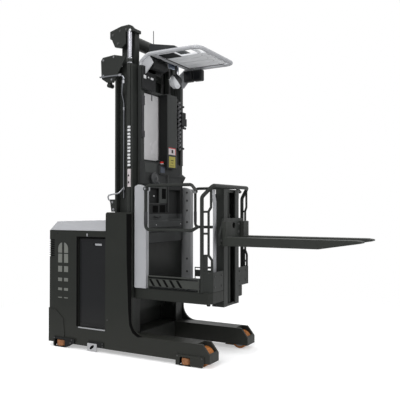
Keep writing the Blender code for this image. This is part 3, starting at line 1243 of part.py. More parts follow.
def roof_frame():
    """Overhead guard: one bent tube from upright to upright, a rear cross tube and corner gussets."""
    half = [(ROOF_REAR_X, ROOF_Y, UPRIGHT_TOP + FIT), (ROOF_REAR_X, ROOF_Y, ROOF_RISE_Z),
            (ROOF_REAR_X + ROOF_RISE_X, ROOF_Y, ROOF_Z), (ROOF_FRONT_X, ROOF_Y, ROOF_Z)]
    route = [(x, -y, z) for x, y, z in half] + [(x, y, z) for x, y, z in reversed(half)]
    frame = tube(round_path(route, ROOF_CORNER, 4), ROOF_TUBE)
    cross = rod_between(ROOF_CROSS_TUBE, -ROOF_Y, ROOF_Y, (ROOF_CROSS_X, ROOF_Z), "y", 16)
    item = union(frame, cross)
    rear = CAB_REAR_X + UPRIGHT_DEPTH + FIT
    outline = [(rear, GUSSET_OUTLINE[0][1]), *GUSSET_OUTLINE, (rear, ROOF_RISE_Z)]
    for label, side in SIDES:
        gusset = plate(outline, "xz", *across(side, ROOF_Y - GUSSET_THICKNESS / 2, ROOF_Y + GUSSET_THICKNESS / 2))
        item = union(item, gusset)
    return finish("roof_frame", item, "light_grey")


def roof_slats():
    """Slats under the guard on two cross ribs, open beside the near rail, with a dark light bar."""
    front = ROOF_FRONT_X - ROOF_TUBE - 0.004
    reach = ROOF_Y - ROOF_TUBE - FIT
    low, high = SLAT_Z - SLAT_THICKNESS - SLAT_LIP, SLAT_Z
    ribs = [box((start, -reach, SLAT_Z - SLAT_THICKNESS), (start + RIB_WIDTH, reach, SLAT_Z + RIB_HEIGHT / 2))
            for start in (SLAT_REAR_X, RIB_FRONT_X)]
    item = union(*ribs, box((SLAT_REAR_X, -0.020, SLAT_Z - 0.004), (front, 0.020, SLAT_Z + 0.004)))
    for index in range(SLAT_COUNT):
        middle = SLAT_FIRST_Y + index * SLAT_PITCH
        half = SLAT_WIDTH / 2
        outline = [(middle - half, high), (middle - half, low + 0.004), (middle - half + SLAT_LIP, low),
                   (middle + half - SLAT_LIP, low), (middle + half, low + 0.004), (middle + half, high)]
        item = union(item, plate(outline, "yz", SLAT_REAR_X, front))
    bar = box((LIGHT_BAR_X[0], LIGHT_BAR_Y[0], low + 0.0015), (LIGHT_BAR_X[1], LIGHT_BAR_Y[1], high - 0.002))
    return finish("roof_slats", union(item, bar), "light_grey")


def roof_cover():
    """Sloping cover on top of the guard's rear, open below, with a thin antenna."""
    base = ROOF_Z + ROOF_CROSS_TUBE + FIT
    rear, front = COVER_OUTLINE[0][0], COVER_OUTLINE[-1][0]
    cover = plate([(rear, base), *COVER_OUTLINE, (front, base)], "xz", -COVER_HALF, COVER_HALF)
    room = [(rear + COVER_WALL, base - 0.1)]
    room += [(x, z - COVER_WALL) for x, z in COVER_OUTLINE]
    room[1] = (rear + COVER_WALL, COVER_OUTLINE[0][1] - COVER_WALL)
    room[-1] = (front - COVER_WALL, COVER_OUTLINE[-1][1] - COVER_WALL)
    room.append((front - COVER_WALL, base - 0.1))
    cover = cut(cover, plate(room, "xz", COVER_WALL - COVER_HALF, COVER_HALF - COVER_WALL))
    antenna = rod_between(ANTENNA_RADIUS, COVER_OUTLINE[0][1] - 0.006, ANTENNA_TOP, ANTENNA_PLACE, "z", 10)
    return finish("roof_cover", union(cover, antenna), "black")


def roof_lamp():
    """Round white lamp with a black band, under the rear cross tube."""
    centre = Vector(LAMP_PLACE)
    work = bmesh.new()
    bmesh.ops.create_uvsphere(work, u_segments=20, v_segments=12, radius=LAMP_RADIUS)
    bmesh.ops.translate(work, verts=work.verts, vec=centre)
    ball = from_bmesh("ball", work)
    band = rod(LAMP_RADIUS + 0.004, centre, LAMP_BAND, "x", 24)
    stem_place = (ROOF_CROSS_X, centre.y)
    stem = rod_between(LAMP_STEM_RADIUS, centre.z + LAMP_RADIUS - 0.01, ROOF_Z - ROOF_CROSS_TUBE - FIT,
                       stem_place, "z", 12)
    return finish("roof_lamp", union(ball, band, stem), "white", tuple(centre))


def work_lamps():
    """Pair of black work lamps on a plate under the far rail."""
    top = ROOF_Z - ROOF_TUBE - FIT
    y = (ROOF_Y - WORK_LAMP_IN, ROOF_Y - WORK_LAMP_OUT)
    middle = (WORK_LAMP_X[0][1] + WORK_LAMP_X[1][0]) / 2
    hanger = box((middle - 0.024, y[1] - 0.016, top - 0.014), (middle + 0.024, ROOF_Y + 0.012, top))
    bridge = box((middle - 0.020, y[0] + 0.020, top - 0.090), (middle + 0.020, y[1] - 0.020, top - 0.030))
    item = union(hanger, bridge)
    for span in WORK_LAMP_X:
        case = box((span[0], y[0], top - WORK_LAMP_DROP[0]), (span[1], y[1], top - WORK_LAMP_DROP[1]))
        item = union(item, bevel(case, 0.012, 2))
    return finish("work_lamps", item, "black")


def cab_mirror():
    """Flat mirror under the cover, held on the rear cross tube."""
    glass = box((MIRROR_X[0], MIRROR_Y[0], MIRROR_Z[0]), (MIRROR_X[1], MIRROR_Y[1], MIRROR_Z[1]))
    middle = sum(MIRROR_Y) / 2
    stem = box((MIRROR_X[1] - 0.002, middle - 0.008, ROOF_Z - 0.006),
               (ROOF_CROSS_X - ROOF_CROSS_TUBE - FIT, middle + 0.008, ROOF_Z + 0.006))
    return finish("cab_mirror", union(bevel(glass, 0.002, 1), stem), "mirror")


def horn():
    """Round black signal housing hung from the rear cross tube."""
    drum = bevel(rod_between(HORN_RADIUS, *HORN_Y, (HORN_X, HORN_Z), "y", 24), 0.008, 1)
    middle = sum(HORN_Y) / 2
    arm = box((HORN_X, middle - 0.015, HORN_Z + HORN_RADIUS - 0.03),
              (ROOF_CROSS_X + 0.008, middle + 0.015, ROOF_Z - ROOF_CROSS_TUBE - FIT))
    return finish("horn", union(drum, arm), "black")


def guard_point(share, z):
    """Point on the slanting corner of the front guard, at a share of the way to the front tube."""
    return (GUARD_SIDE_X + share * (GUARD_TOP_X - GUARD_SIDE_X),
            GUARD_SIDE_Y + share * (GUARD_TOP_Y - GUARD_SIDE_Y), z)


def guard_panel(side, start, end, low, high, thickness):
    """Flat panel along the slanting corner, between two shares of the way."""
    half = thickness / 2
    ends = [guard_point(start, 0.0), guard_point(end, 0.0)]
    outline = [(x + step, side * (y + step)) for (x, y, z), step in zip(ends, (-half, -half))]
    outline += [(x + step, side * (y + step)) for (x, y, z), step in zip(reversed(ends), (half, half))]
    return plate(outline, "xy", low, high)


def front_guard():
    """Front guard: one bent tube over the front, with stepped inner tubes, rungs and corner panels."""
    floor = FLOOR_TOP + FIT
    half = [(GUARD_SIDE_X, GUARD_SIDE_Y, floor), (GUARD_SIDE_X, GUARD_SIDE_Y, GUARD_BEND_Z),
            (GUARD_TOP_X, GUARD_TOP_Y, GUARD_TOP_Z)]
    route = [(x, -y, z) for x, y, z in half] + [(x, y, z) for x, y, z in reversed(half)]
    item = tube(round_path(route, 0.045, 3), GUARD_TUBE)
    panels = ((0.0, 1.0, floor, GUARD_PANEL_TOP, GUARD_PLATE),
              (0.03, GUARD_WING_SHARE, GUARD_PANEL_TOP - 0.02, GUARD_WING_TOP, GUARD_WING_PLATE))
    for label, side in SIDES:
        inner = [guard_point(share, z) for share, z in GUARD_INNER_ROUTE]
        item = union(item, tube(round_path([(x, side * y, z) for x, y, z in inner], 0.015, 2), GUARD_INNER_TUBE))
        for share, height in GUARD_RUNGS:
            ends = [guard_point(0.0, height), guard_point(share, height)]
            item = union(item, tube([(x, side * y, z) for x, y, z in ends], GUARD_INNER_TUBE - 0.002))
        for panel in panels:
            item = union(item, guard_panel(side, *panel))
        front = side_box(side, (GUARD_TOP_X - GUARD_PLATE, GUARD_TOP_X),
                         (FORK_MAST_HALF + FIT, GUARD_TOP_Y + 0.002), (floor, GUARD_PANEL_TOP))
        item = union(item, front)
    return finish("front_guard", item, "mast_green")


def front_trim(label, side):
    """Light upright beside the fork mast, bent outwards at its top."""
    bar = plate([(side * y, z) for y, z in TRIM_OUTLINE], "yz", *TRIM_X)
    return finish(f"front_trim_{label}", bar, "light_grey")


def fork_mast():
    """Fork mast at the cabin's front: two channels, back plate, end plates and a cylinder."""
    x_rear, x_front = FORK_MAST_X
    z_low, z_high = FORK_MAST_Z
    web = FORK_MAST_HALF - FORK_RAIL_WALL
    edge = FORK_MAST_HALF - FORK_RAIL_WIDTH
    item = box((x_rear, -FORK_MAST_HALF + 0.004, z_low),
               (x_rear + FORK_RAIL_WALL, FORK_MAST_HALF - 0.004, z_high - 0.05))
    for label, side in SIDES:
        outline = [(x_rear, edge), (x_rear + FORK_RAIL_WALL, edge), (x_rear + FORK_RAIL_WALL, web),
                   (x_front - FORK_RAIL_WALL, web), (x_front - FORK_RAIL_WALL, edge), (x_front, edge),
                   (x_front, FORK_MAST_HALF), (x_rear, FORK_MAST_HALF)]
        item = union(item, plate([(x, side * y) for x, y in outline], "xy", z_low, z_high))
    foot = box((x_rear + 0.004, -web - 0.004, z_low), (x_front - 0.004, web + 0.004, z_low + 0.022))
    top = box((x_rear, -web - 0.004, z_high - 0.030), (x_rear + 0.070, web + 0.004, z_high))
    place = (x_rear + FORK_CYLINDER_X, 0.0)
    cylinder = rod_between(FORK_CYLINDER_RADIUS, z_low + 0.010, FORK_CYLINDER_TOP, place, "z", 20)
    ram = rod_between(FORK_RAM_RADIUS, FORK_CYLINDER_TOP - 0.010, z_high - 0.020, place, "z", 16)
    heel = box((FORK_HEEL_X, -FORK_MAST_HALF, z_low), (x_rear + 0.01, FORK_MAST_HALF, FLOOR_TOP - FLOOR_DEPTH - FIT))
    return finish("fork_mast", union(item, foot, top, cylinder, ram, heel), "mast_green")


def fork_carriage():
    """Fork carriage: face plate with sloping shoulders and the blocks that run in the fork mast."""
    outline = [(-FORK_PLATE_HALF, FORK_PLATE_LOW_Z), (FORK_PLATE_HALF, FORK_PLATE_LOW_Z),
               (FORK_PLATE_HALF, FORK_PLATE_SIDE_Z), (FORK_PLATE_TOP_HALF, FORK_PLATE_TOP_Z),
               (-FORK_PLATE_TOP_HALF, FORK_PLATE_TOP_Z), (-FORK_PLATE_HALF, FORK_PLATE_SIDE_Z)]
    face = plate(rounded(outline, 0.020, 3), "yz", *FORK_PLATE_X, [circle((0.0, FORK_HOLE_Z), FORK_PLATE_HOLE)])
    slot_rear = FORK_MAST_X[0] + FORK_RAIL_WALL
    slot_front = FORK_MAST_X[1] - FORK_RAIL_WALL
    edge = FORK_MAST_HALF - FORK_RAIL_WIDTH
    inner = FORK_MAST_HALF - FORK_RAIL_WALL - RUN
    for label, side in SIDES:
        block = side_box(side, (slot_rear + RUN, slot_front - RUN), (FORK_NECK_Y, edge + 0.010), FORK_BLOCK_Z)
        neck = side_box(side, (slot_front - RUN - 0.010, FORK_PLATE_X[0] + 0.006), (FORK_NECK_Y, edge - RUN),
                        FORK_BLOCK_Z)
        face = union(face, neck, block)
        for height in FORK_ROLLER_Z:
            face = union(face, rod_between((slot_front - slot_rear) / 2 - FIT, *across(side, edge + 0.005, inner),
                                           ((slot_rear + slot_front) / 2, height), "y", 24))
    return finish("fork_carriage", face, "mast_green", (FORK_PLATE_X[0], 0.0, FORK_LOW_Z))


def fork(label, side):
    """One box fork with a short shank on the carriage plate."""
    rear = FORK_PLATE_X[1] + FIT
    outline = [(rear, FORK_LOW_Z), (FORK_TAPER_X, FORK_LOW_Z), (FORK_TIP_X, FORK_TIP_Z[0]),
               (FORK_TIP_X, FORK_TIP_Z[1]), (FORK_TIP_X - FORK_NOSE, FORK_TOP_Z),
               (rear + FORK_SHANK, FORK_TOP_Z), (rear + FORK_SHANK, FORK_SHANK_TOP), (rear, FORK_SHANK_TOP)]
    blade = plate(outline, "xz", *across(side, FORK_Y - FORK_WIDTH / 2, FORK_Y + FORK_WIDTH / 2))
    return finish(f"fork_{label}", bevel(blade, 0.006, 2), "iron", (rear, side * FORK_Y, FORK_LOW_Z))


def side_gate(label, side):
    """Side gate: one bent tube, open at the front, with a hub on the post's pin."""
    pivot_x, pivot_z = gate_pivot()
    route = [GATE_TOP_END[1], GATE_TOP_END[0], (GATE_REAR_X, GATE_TOP_Z), (GATE_REAR_X, GATE_LOW_Z), *GATE_LOW_END]
    route = round_path([(x, side * GATE_Y, z) for x, z in route], GATE_BEND, 4)
    item = tube(route, GATE_TUBE)
    hub = rod_between(GATE_HUB_RADIUS, *across(side, GATE_Y - GATE_TUBE, GATE_Y + GATE_TUBE),
                      (pivot_x, pivot_z), "y", 20)
    bore = rod_between(GATE_PIN_RADIUS + PIN_GAP, *across(side, GATE_Y - 0.1, GATE_Y + 0.1),
                       (pivot_x, pivot_z), "y", 16)
    item = cut(union(item, hub), bore)
    return finish(f"side_gate_{label}", item, "mast_green", (pivot_x, side * GATE_Y, pivot_z))


def build():
    chassis_body()
    hood()
    battery()
    drive_motor()
    steer_leg()
    drive_wheel()
    outer_mast()
    inner_mast()
    hose_box()
    hydraulic_pipe()
    cab_floor()
    floor_mat()
    cab_frame()
    mast_screen()
    cab_carriage()
    console()
    steering_knob()
    coil_cable()
    roof_frame()
    roof_slats()
    roof_cover()
    roof_lamp()
    work_lamps()
    cab_mirror()
    horn()
    front_guard()
    fork_mast()
    fork_carriage()
    for label, side in SIDES:
        battery_door(label, side)
        leg(label, side)
        load_wheels(label, side)
        lift_cylinder(label, side)
        lift_rod(label, side)
        lift_chain(label, side)
        cab_post(label, side)
        front_trim(label, side)
        fork(label, side)
        side_gate(label, side)
        for place in GUIDE_UNITS:
            guide_roller(place, label, side)


build()
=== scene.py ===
"""Scene of the order picker truck: materials, small fittings, camera, floor and light."""

import math

import bmesh
import bpy
from mathutils import Matrix, Vector


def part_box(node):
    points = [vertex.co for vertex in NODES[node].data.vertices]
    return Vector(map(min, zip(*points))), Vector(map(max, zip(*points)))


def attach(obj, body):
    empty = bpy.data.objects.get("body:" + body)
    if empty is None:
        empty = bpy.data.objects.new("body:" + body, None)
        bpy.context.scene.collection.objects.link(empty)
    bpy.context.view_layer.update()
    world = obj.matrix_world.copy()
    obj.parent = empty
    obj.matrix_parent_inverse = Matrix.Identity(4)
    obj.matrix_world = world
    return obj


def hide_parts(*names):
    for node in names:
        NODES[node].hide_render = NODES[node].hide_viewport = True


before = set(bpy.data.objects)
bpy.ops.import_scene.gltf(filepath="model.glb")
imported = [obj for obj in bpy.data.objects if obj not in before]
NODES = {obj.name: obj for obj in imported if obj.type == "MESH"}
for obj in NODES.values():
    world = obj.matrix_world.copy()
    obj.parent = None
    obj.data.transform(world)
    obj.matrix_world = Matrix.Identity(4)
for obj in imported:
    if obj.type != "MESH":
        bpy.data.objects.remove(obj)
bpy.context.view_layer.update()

NEAR, FAR = -1, 1
SIDES = (("near", NEAR), ("far", FAR))
SCENE = bpy.context.scene


# Camera fitted to the photograph: place in metres, angles in degrees, lens in millimetres

CAMERA_PLACE = (2.767, -5.058, 1.452)
CAMERA_TILT = 90.8687
CAMERA_TURN = 29.1554
CAMERA_LENS = 51.45
CAMERA_SENSOR = 36.0
CAMERA_REACH = 100.0


def make_camera():
    data = bpy.data.cameras.new("camera")
    data.lens = CAMERA_LENS
    data.sensor_width = CAMERA_SENSOR
    data.clip_end = CAMERA_REACH
    camera = bpy.data.objects.new("camera", data)
    camera.location = CAMERA_PLACE
    camera.rotation_euler = (math.radians(CAMERA_TILT), 0.0, math.radians(CAMERA_TURN))
    SCENE.collection.objects.link(camera)
    SCENE.camera = camera


# Colours

def rgb(red, green, blue):
    """Linear colour from screen bytes."""
    out = []
    for value in (red, green, blue):
        share = value / 255.0
        out.append(share / 12.92 if share <= 0.04045 else ((share + 0.055) / 1.055) ** 2.4)
    return (*out, 1.0)


def shade(colour, factor, lift=0.0):
    """The colour made darker or lighter by a factor, and lifted by an amount."""
    return tuple(min(value * factor + lift, 1.0) for value in colour[:3]) + (1.0,)


def grey(tone):
    """Linear grey of one tone."""
    return (tone, tone, tone, 1.0)


# Node materials

DUST = (0.120, 0.112, 0.098, 1.0)


class Nodes:
    """Small builder for one node material."""

    def __init__(self, name):
        self.material = bpy.data.materials.new(name)
        self.material.use_nodes = True
        self.tree = self.material.node_tree
        self.tree.nodes.clear()
        self.output = self.add("ShaderNodeOutputMaterial")
        self.shader = self.add("ShaderNodeBsdfPrincipled")
        self.link(self.shader, "BSDF", self.output, "Surface")
        self.place = self.add("ShaderNodeTexCoord")

    def add(self, kind, **values):
        node = self.tree.nodes.new(kind)
        for key, value in values.items():
            setattr(node, key, value)
        return node

    def link(self, source, out, target, into):
        self.tree.links.new(source.outputs[out], target.inputs[into])

    def vector(self, stretch=None):
        if not stretch:
            return self.place, "Object"
        mapping = self.add("ShaderNodeMapping")
        mapping.inputs["Scale"].default_value = stretch
        self.link(self.place, "Object", mapping, "Vector")
        return mapping, "Vector"

    def noise(self, scale, detail=4.0, roughness=0.55, stretch=None):
        node = self.add("ShaderNodeTexNoise")
        node.inputs["Scale"].default_value = scale
        node.inputs["Detail"].default_value = detail
        node.inputs["Roughness"].default_value = roughness
        source, out = self.vector(stretch)
        self.link(source, out, node, "Vector")
        return node

    def voronoi(self, scale, feature="F1", stretch=None):
        node = self.add("ShaderNodeTexVoronoi", feature=feature)
        node.inputs["Scale"].default_value = scale
        source, out = self.vector(stretch)
        self.link(source, out, node, "Vector")
        return node

    def axis(self, name):
        node = self.add("ShaderNodeSeparateXYZ")
        self.link(self.place, "Object", node, "Vector")
        return node, name

    def distance(self, point, flatten=(1, 1, 1)):
        """Distance of the surface point from a place, with some axes left out."""
        away = self.add("ShaderNodeVectorMath", operation="SUBTRACT")
        self.link(self.place, "Object", away, 0)
        away.inputs[1].default_value = point
        keep = self.add("ShaderNodeVectorMath", operation="MULTIPLY")
        self.link(away, "Vector", keep, 0)
        keep.inputs[1].default_value = flatten
        size = self.add("ShaderNodeVectorMath", operation="LENGTH")
        self.link(keep, "Vector", size, 0)
        return size, "Value"

    def range(self, source, out, low, high, to_low, to_high):
        node = self.add("ShaderNodeMapRange")
        for key, value in (("From Min", low), ("From Max", high), ("To Min", to_low), ("To Max", to_high)):
            node.inputs[key].default_value = value
        self.link(source, out, node, "Value")
        return node, "Result"

    def math(self, operation, first, second):
        node = self.add("ShaderNodeMath", operation=operation)
        for index, value in enumerate((first, second)):
            if isinstance(value, tuple):
                self.link(value[0], value[1], node, index)
            else:
                node.inputs[index].default_value = value
        return node, "Value"

    def mix(self, factor, first, second):
        node = self.add("ShaderNodeMix", data_type="RGBA")
        self.link(factor[0], factor[1], node, 0)
        for index, value in ((6, first), (7, second)):
            if len(value) == 4:
                node.inputs[index].default_value = value
            else:
                self.link(value[0], value[1], node, index)
        return node, 2

    def colour(self, value):
        if len(value) == 4:
            self.shader.inputs["Base Color"].default_value = value
        else:
            self.link(value[0], value[1], self.shader, "Base Color")

    def tone(self):
        """What drives the base colour so far, as a source for a further mix."""
        return self.shader.inputs["Base Color"].links[0].from_node, 2

    def rough(self, value):
        self.link(value[0], value[1], self.shader, "Roughness")

    def bump(self, value, strength, distance):
        node = self.add("ShaderNodeBump")
        node.inputs["Strength"].default_value = strength
        node.inputs["Distance"].default_value = distance
        self.link(value[0], value[1], node, "Height")
        self.link(node, "Normal", self.shader, "Normal")

    def fixed(self, **values):
        for key, value in values.items():
            self.shader.inputs[key.replace("_", " ")].default_value = value


def paint(name, colour, roughness=0.42, grime=0.25, peel=0.08, dust=0.3, shine=0.14):
    """Sprayed paint: cloudy tone, fine scuffs, faint orange peel and dust low down."""
    m = Nodes(name)
    cloud = m.noise(2.4, 5.0, 0.6)
    share = m.range(cloud, "Fac", 0.32, 0.70, 0.0, 1.0)
    tone = m.mix(share, shade(colour, 1.0 - grime * 0.30), shade(colour, 1.0 + grime * 0.20))
    scuff = m.noise(34.0, 8.0, 0.74, (1.0, 1.0, 0.20))
    marks = m.range(scuff, "Fac", 0.62, 0.80, 0.0, grime)
    worn = m.mix(marks, tone, shade(colour, 1.35, 0.010))
    height, out = m.axis("Z")
    low = m.range(height, out, 0.50, 0.0, 0.0, dust * 0.35)
    m.colour(m.mix(low, worn, DUST))
    m.rough(m.range(scuff, "Fac", 0.3, 0.75, roughness - 0.04, roughness + 0.14))
    m.bump((m.noise(190.0, 2.0, 0.5), "Fac"), peel, 0.001)
    m.fixed(Specular_IOR_Level=shine)
    return m


def plastic(name, colour, roughness=0.55, grain=420.0, strength=0.16, shine=0.18):
    """Moulded plastic: leather-like grain and slight handling shine."""
    m = Nodes(name)
    cloud = m.noise(5.0, 4.0, 0.6)
    share = m.range(cloud, "Fac", 0.3, 0.7, 0.0, 1.0)
    m.colour(m.mix(share, shade(colour, 0.88), shade(colour, 1.12, 0.001)))
    m.rough(m.range(cloud, "Fac", 0.3, 0.7, roughness - 0.08, roughness + 0.08))
    m.bump((m.voronoi(grain), "Distance"), strength, 0.0006)
    m.fixed(Specular_IOR_Level=shine)
    return m


def steel(name, colour, roughness=0.25, brushed=(1.0, 1.0, 0.03), scale=160.0):
    """Bright or brushed metal with streaks along one direction."""
    m = Nodes(name)
    streak = m.noise(scale, 5.0, 0.6, brushed)
    share = m.range(streak, "Fac", 0.3, 0.7, 0.0, 1.0)
    m.colour(m.mix(share, shade(colour, 0.86), colour))
    m.rough(m.range(streak, "Fac", 0.3, 0.7, roughness * 0.8, roughness * 1.3))
    m.bump((streak, "Fac"), 0.03, 0.0004)
    m.fixed(Metallic=1.0)
    return m


def iron(name, colour, roughness=0.6):
    """Cast or forged iron: pitted and slightly oily."""
    m = Nodes(name)
    cloud = m.noise(9.0, 6.0, 0.65)
    share = m.range(cloud, "Fac", 0.35, 0.65, 0.0, 1.0)
    m.colour(m.mix(share, shade(colour, 0.75), shade(colour, 1.25)))
    m.rough(m.range(cloud, "Fac", 0.3, 0.7, roughness - 0.12, roughness + 0.12))
    m.bump((m.noise(260.0, 4.0, 0.7), "Fac"), 0.25, 0.0012)
    m.fixed(Metallic=0.35)
    return m


def rubber(name, colour, roughness=0.85):
    """Dusty rubber with a fine surface."""
    m = Nodes(name)
    cloud = m.noise(12.0, 6.0, 0.7)
    share = m.range(cloud, "Fac", 0.35, 0.75, 0.0, 1.0)
    m.colour(m.mix(share, colour, shade(colour, 1.3, 0.012)))
    m.rough(m.range(cloud, "Fac", 0.3, 0.7, roughness - 0.08, roughness + 0.08))
    m.bump((m.noise(420.0, 3.0, 0.6), "Fac"), 0.25, 0.0006)
    m.fixed(Specular_IOR_Level=0.18)
    return m


def wheel(name, centre, axis, hub_radius, tread, hub):
    """Polyurethane tread with a steel hub inside a given radius."""
    m = Nodes(name)
    flat = {"y": (1, 0, 1), "z": (1, 1, 0)}[axis]
    away = m.distance(centre, flat)
    inside = m.range(*away, hub_radius - 0.0006, hub_radius + 0.0006, 1.0, 0.0)
    cloud = m.noise(14.0, 6.0, 0.7)
    share = m.range(cloud, "Fac", 0.35, 0.70, 0.0, 1.0)
    ring = m.mix(share, shade(tread, 0.72), shade(tread, 1.12))
    m.colour(m.mix(inside, ring, hub))
    m.rough(m.range(cloud, "Fac", 0.3, 0.7, 0.45, 0.70))
    m.link(inside[0], inside[1], m.shader, "Metallic")
    m.bump((m.noise(160.0, 5.0, 0.7), "Fac"), 0.20, 0.0010)
    return m


GREEN = rgb(37, 39, 36)
GREEN_MAST = rgb(43, 45, 43)
GREY = rgb(172, 173, 176)
# Far post grey: the light grey darkened as painted shade, for the shade inside the cab
GREY_SHADED = rgb(146, 147, 148)
ORANGE = rgb(176, 108, 48)
ORANGE_DULL = rgb(150, 98, 58)
HUB = rgb(120, 120, 122)

PAINT_BODY = paint("paint_body", GREEN)
PAINT_MAST = paint("paint_mast", GREEN_MAST, 0.38, dust=0.2)
PAINT_LIGHT = paint("paint_light", GREY, 0.40, grime=0.16)
PAINT_DOOR = paint("paint_door", rgb(25, 26, 28), 0.34, grime=0.2)
PAINT_SHADED = paint("paint_far_post_painted_shade", GREY_SHADED, 0.45, grime=0.2)
PAINT_SLATS = paint("paint_slats", rgb(226, 227, 229), 0.45, grime=0.1)
PAINT_FORK = paint("paint_fork", rgb(50, 52, 49), 0.50, grime=0.5)
PAINT_TOE = paint("paint_toe_board", rgb(64, 66, 63))
PAINT_INLAY = paint("paint_inlay", rgb(118, 120, 115), 0.50)
PAINT_STRIP = paint("paint_strip", rgb(64, 65, 65), 0.50)
PLASTIC_BLACK = plastic("plastic_black", rgb(24, 25, 26))
PLASTIC_KNOB = plastic("plastic_knob", rgb(58, 59, 60), 0.45)
PLASTIC_DARK = plastic("plastic_dark_gap", rgb(9, 9, 9), 0.8, shine=0.03)
PLASTIC_PANEL = plastic("plastic_panel", rgb(62, 64, 63), 0.5, shine=0.1)
PLASTIC_COVER = plastic("plastic_cover", rgb(44, 46, 47), 0.5)
RUBBER_MAT = rubber("rubber_mat", rgb(38, 39, 39))
RUBBER_CABLE = rubber("rubber_cable", rgb(48, 48, 50), 0.6)
RUBBER_COIL = rubber("rubber_coil", rgb(104, 104, 106), 0.6)
STEEL = steel("steel_bright", rgb(150, 151, 155), 0.30)
CHROME = steel("chrome_rod", rgb(146, 146, 151), 0.24)
PIPE = steel("pipe_steel", rgb(118, 120, 124), 0.30)
IRON = iron("iron_dark", rgb(70, 70, 70))
BATTERY = plastic("battery_case", rgb(86, 89, 92), 0.6)
MIRROR = steel("mirror_glass", rgb(196, 205, 222), 0.06)
PLASTIC_WHITE = plastic("plastic_white", rgb(206, 207, 208), 0.42, grain=600.0, strength=0.05)
PLASTIC_RED = plastic("plastic_red", rgb(176, 34, 26), 0.36, grain=600.0, strength=0.05)
GLASS_BLUE = plastic("display_glass", rgb(58, 65, 78), 0.14, grain=500.0, strength=0.02)
LABEL_PALE = plastic("label_pale", rgb(196, 188, 190), 0.48, grain=300.0, strength=0.04)
LABEL_YELLOW = plastic("label_yellow", rgb(160, 151, 74), 0.48, grain=300.0, strength=0.04)
LENS = plastic("lamp_glass", rgb(26, 27, 29), 0.12, grain=120.0, strength=0.30, shine=0.3)


def screen_material():
    """Dusty smoked pane that lets a little through."""
    m = Nodes("smoked_screen")
    cloud = m.noise(3.0, 5.0, 0.6)
    share = m.range(cloud, "Fac", 0.3, 0.7, 0.0, 1.0)
    m.colour(m.mix(share, rgb(196, 195, 196), rgb(206, 205, 206)))
    m.rough(m.range(cloud, "Fac", 0.3, 0.7, 0.18, 0.30))
    m.fixed(Alpha=0.95)
    return m


def chassis_material():
    """Body paint, with light grey slotted side plates and black roller brackets."""
    m = paint("paint_chassis", GREEN)
    along = m.axis("X")
    off_centre = m.math("ABSOLUTE", m.axis("Y"), 0.0)
    after_rear = m.range(*along, -1.0906, -1.0902, 0.0, 1.0)
    before_front = m.range(*along, -0.9678, -0.9674, 1.0, 0.0)
    on_plate = m.range(*off_centre, 0.5046, 0.5050, 0.0, 1.0)
    plate = m.math("MULTIPLY", m.math("MULTIPLY", after_rear, before_front), on_plate)
    low = m.range(*m.axis("Z"), 0.1075, 0.1085, 1.0, 0.0)
    outer = m.range(*off_centre, 0.5012, 0.5016, 0.0, 1.0)
    bracket = m.math("MULTIPLY", low, outer)
    with_brackets = m.mix(bracket, m.tone(), rgb(22, 23, 23))
    m.colour(m.mix(plate, with_brackets, rgb(186, 186, 188)))
    return m


# Painted shade: the cab frame turns near black on the cover strip's near side, at this y
STRIP_SIDE_Y = -0.065            # near side of the cover strip


def frame_material():
    """Mast paint, with painted shade on the near side of the cover strip."""
    m = paint("paint_cab_frame_side_shade", rgb(48, 50, 49), 0.38, dust=0.2)
    from_side = m.math("ABSOLUTE", m.math("SUBTRACT", m.axis("Y"), STRIP_SIDE_Y), 0.0)
    shade_side = m.range(*from_side, 0.0010, 0.0014, 1.0, 0.0)
    # the near-black colour is painted shade
    m.colour(m.mix(shade_side, m.tone(), rgb(20, 21, 21)))
    return m


# Painted light and shade on the console: height and factor on its colour, darker low down, lighter at knee
# height and near the top
CONSOLE_LIGHT_AND_SHADE = ((0.0, 0.28), (1.105, 1.9), (1.235, 2.3), (1.395, 0.75), (1.700, 1.25))
CONSOLE_REACH = 2.0             # height at which the console's ramp of tones ends
TONE_LIMIT = 3.0                # the ramp holds shares of this factor


def console_material():
    """Dark moulded console with painted light and shade by height: darker low down, lighter at knee height; a
    ramp gives each height its factor.
    """
    m = plastic("console_plastic_painted_light", rgb(46, 47, 47), shine=0.07)
    ramp = m.add("ShaderNodeValToRGB")
    ramp.color_ramp.interpolation = "CONSTANT"
    while len(ramp.color_ramp.elements) < len(CONSOLE_LIGHT_AND_SHADE):
        ramp.color_ramp.elements.new(0.5)
    for element, (height, tone) in zip(ramp.color_ramp.elements, CONSOLE_LIGHT_AND_SHADE):
        element.position = height / CONSOLE_REACH
        element.color = grey(tone / TONE_LIMIT)
    share = m.range(*m.axis("Z"), 0.0, CONSOLE_REACH, 0.0, 1.0)
    m.link(*share, ramp, "Fac")
    scaled = m.add("ShaderNodeVectorMath", operation="SCALE")
    m.link(ramp, "Color", scaled, 0)
    scaled.inputs["Scale"].default_value = TONE_LIMIT
    toned = m.add("ShaderNodeVectorMath", operation="MULTIPLY")
    m.link(scaled, "Vector", toned, 0)
    m.link(*m.tone(), toned, 1)
    m.colour((toned, "Vector"))
    return m


LAMP_TILT = (0.707, 0.395, 0.587)     # way out of the ball in which its black part faces
LAMP_PLACE = (-0.407, 0.10)           # x and y of the ball's middle
LAMP_MIDDLE = 0.071                   # height of the ball's middle over its lowest point


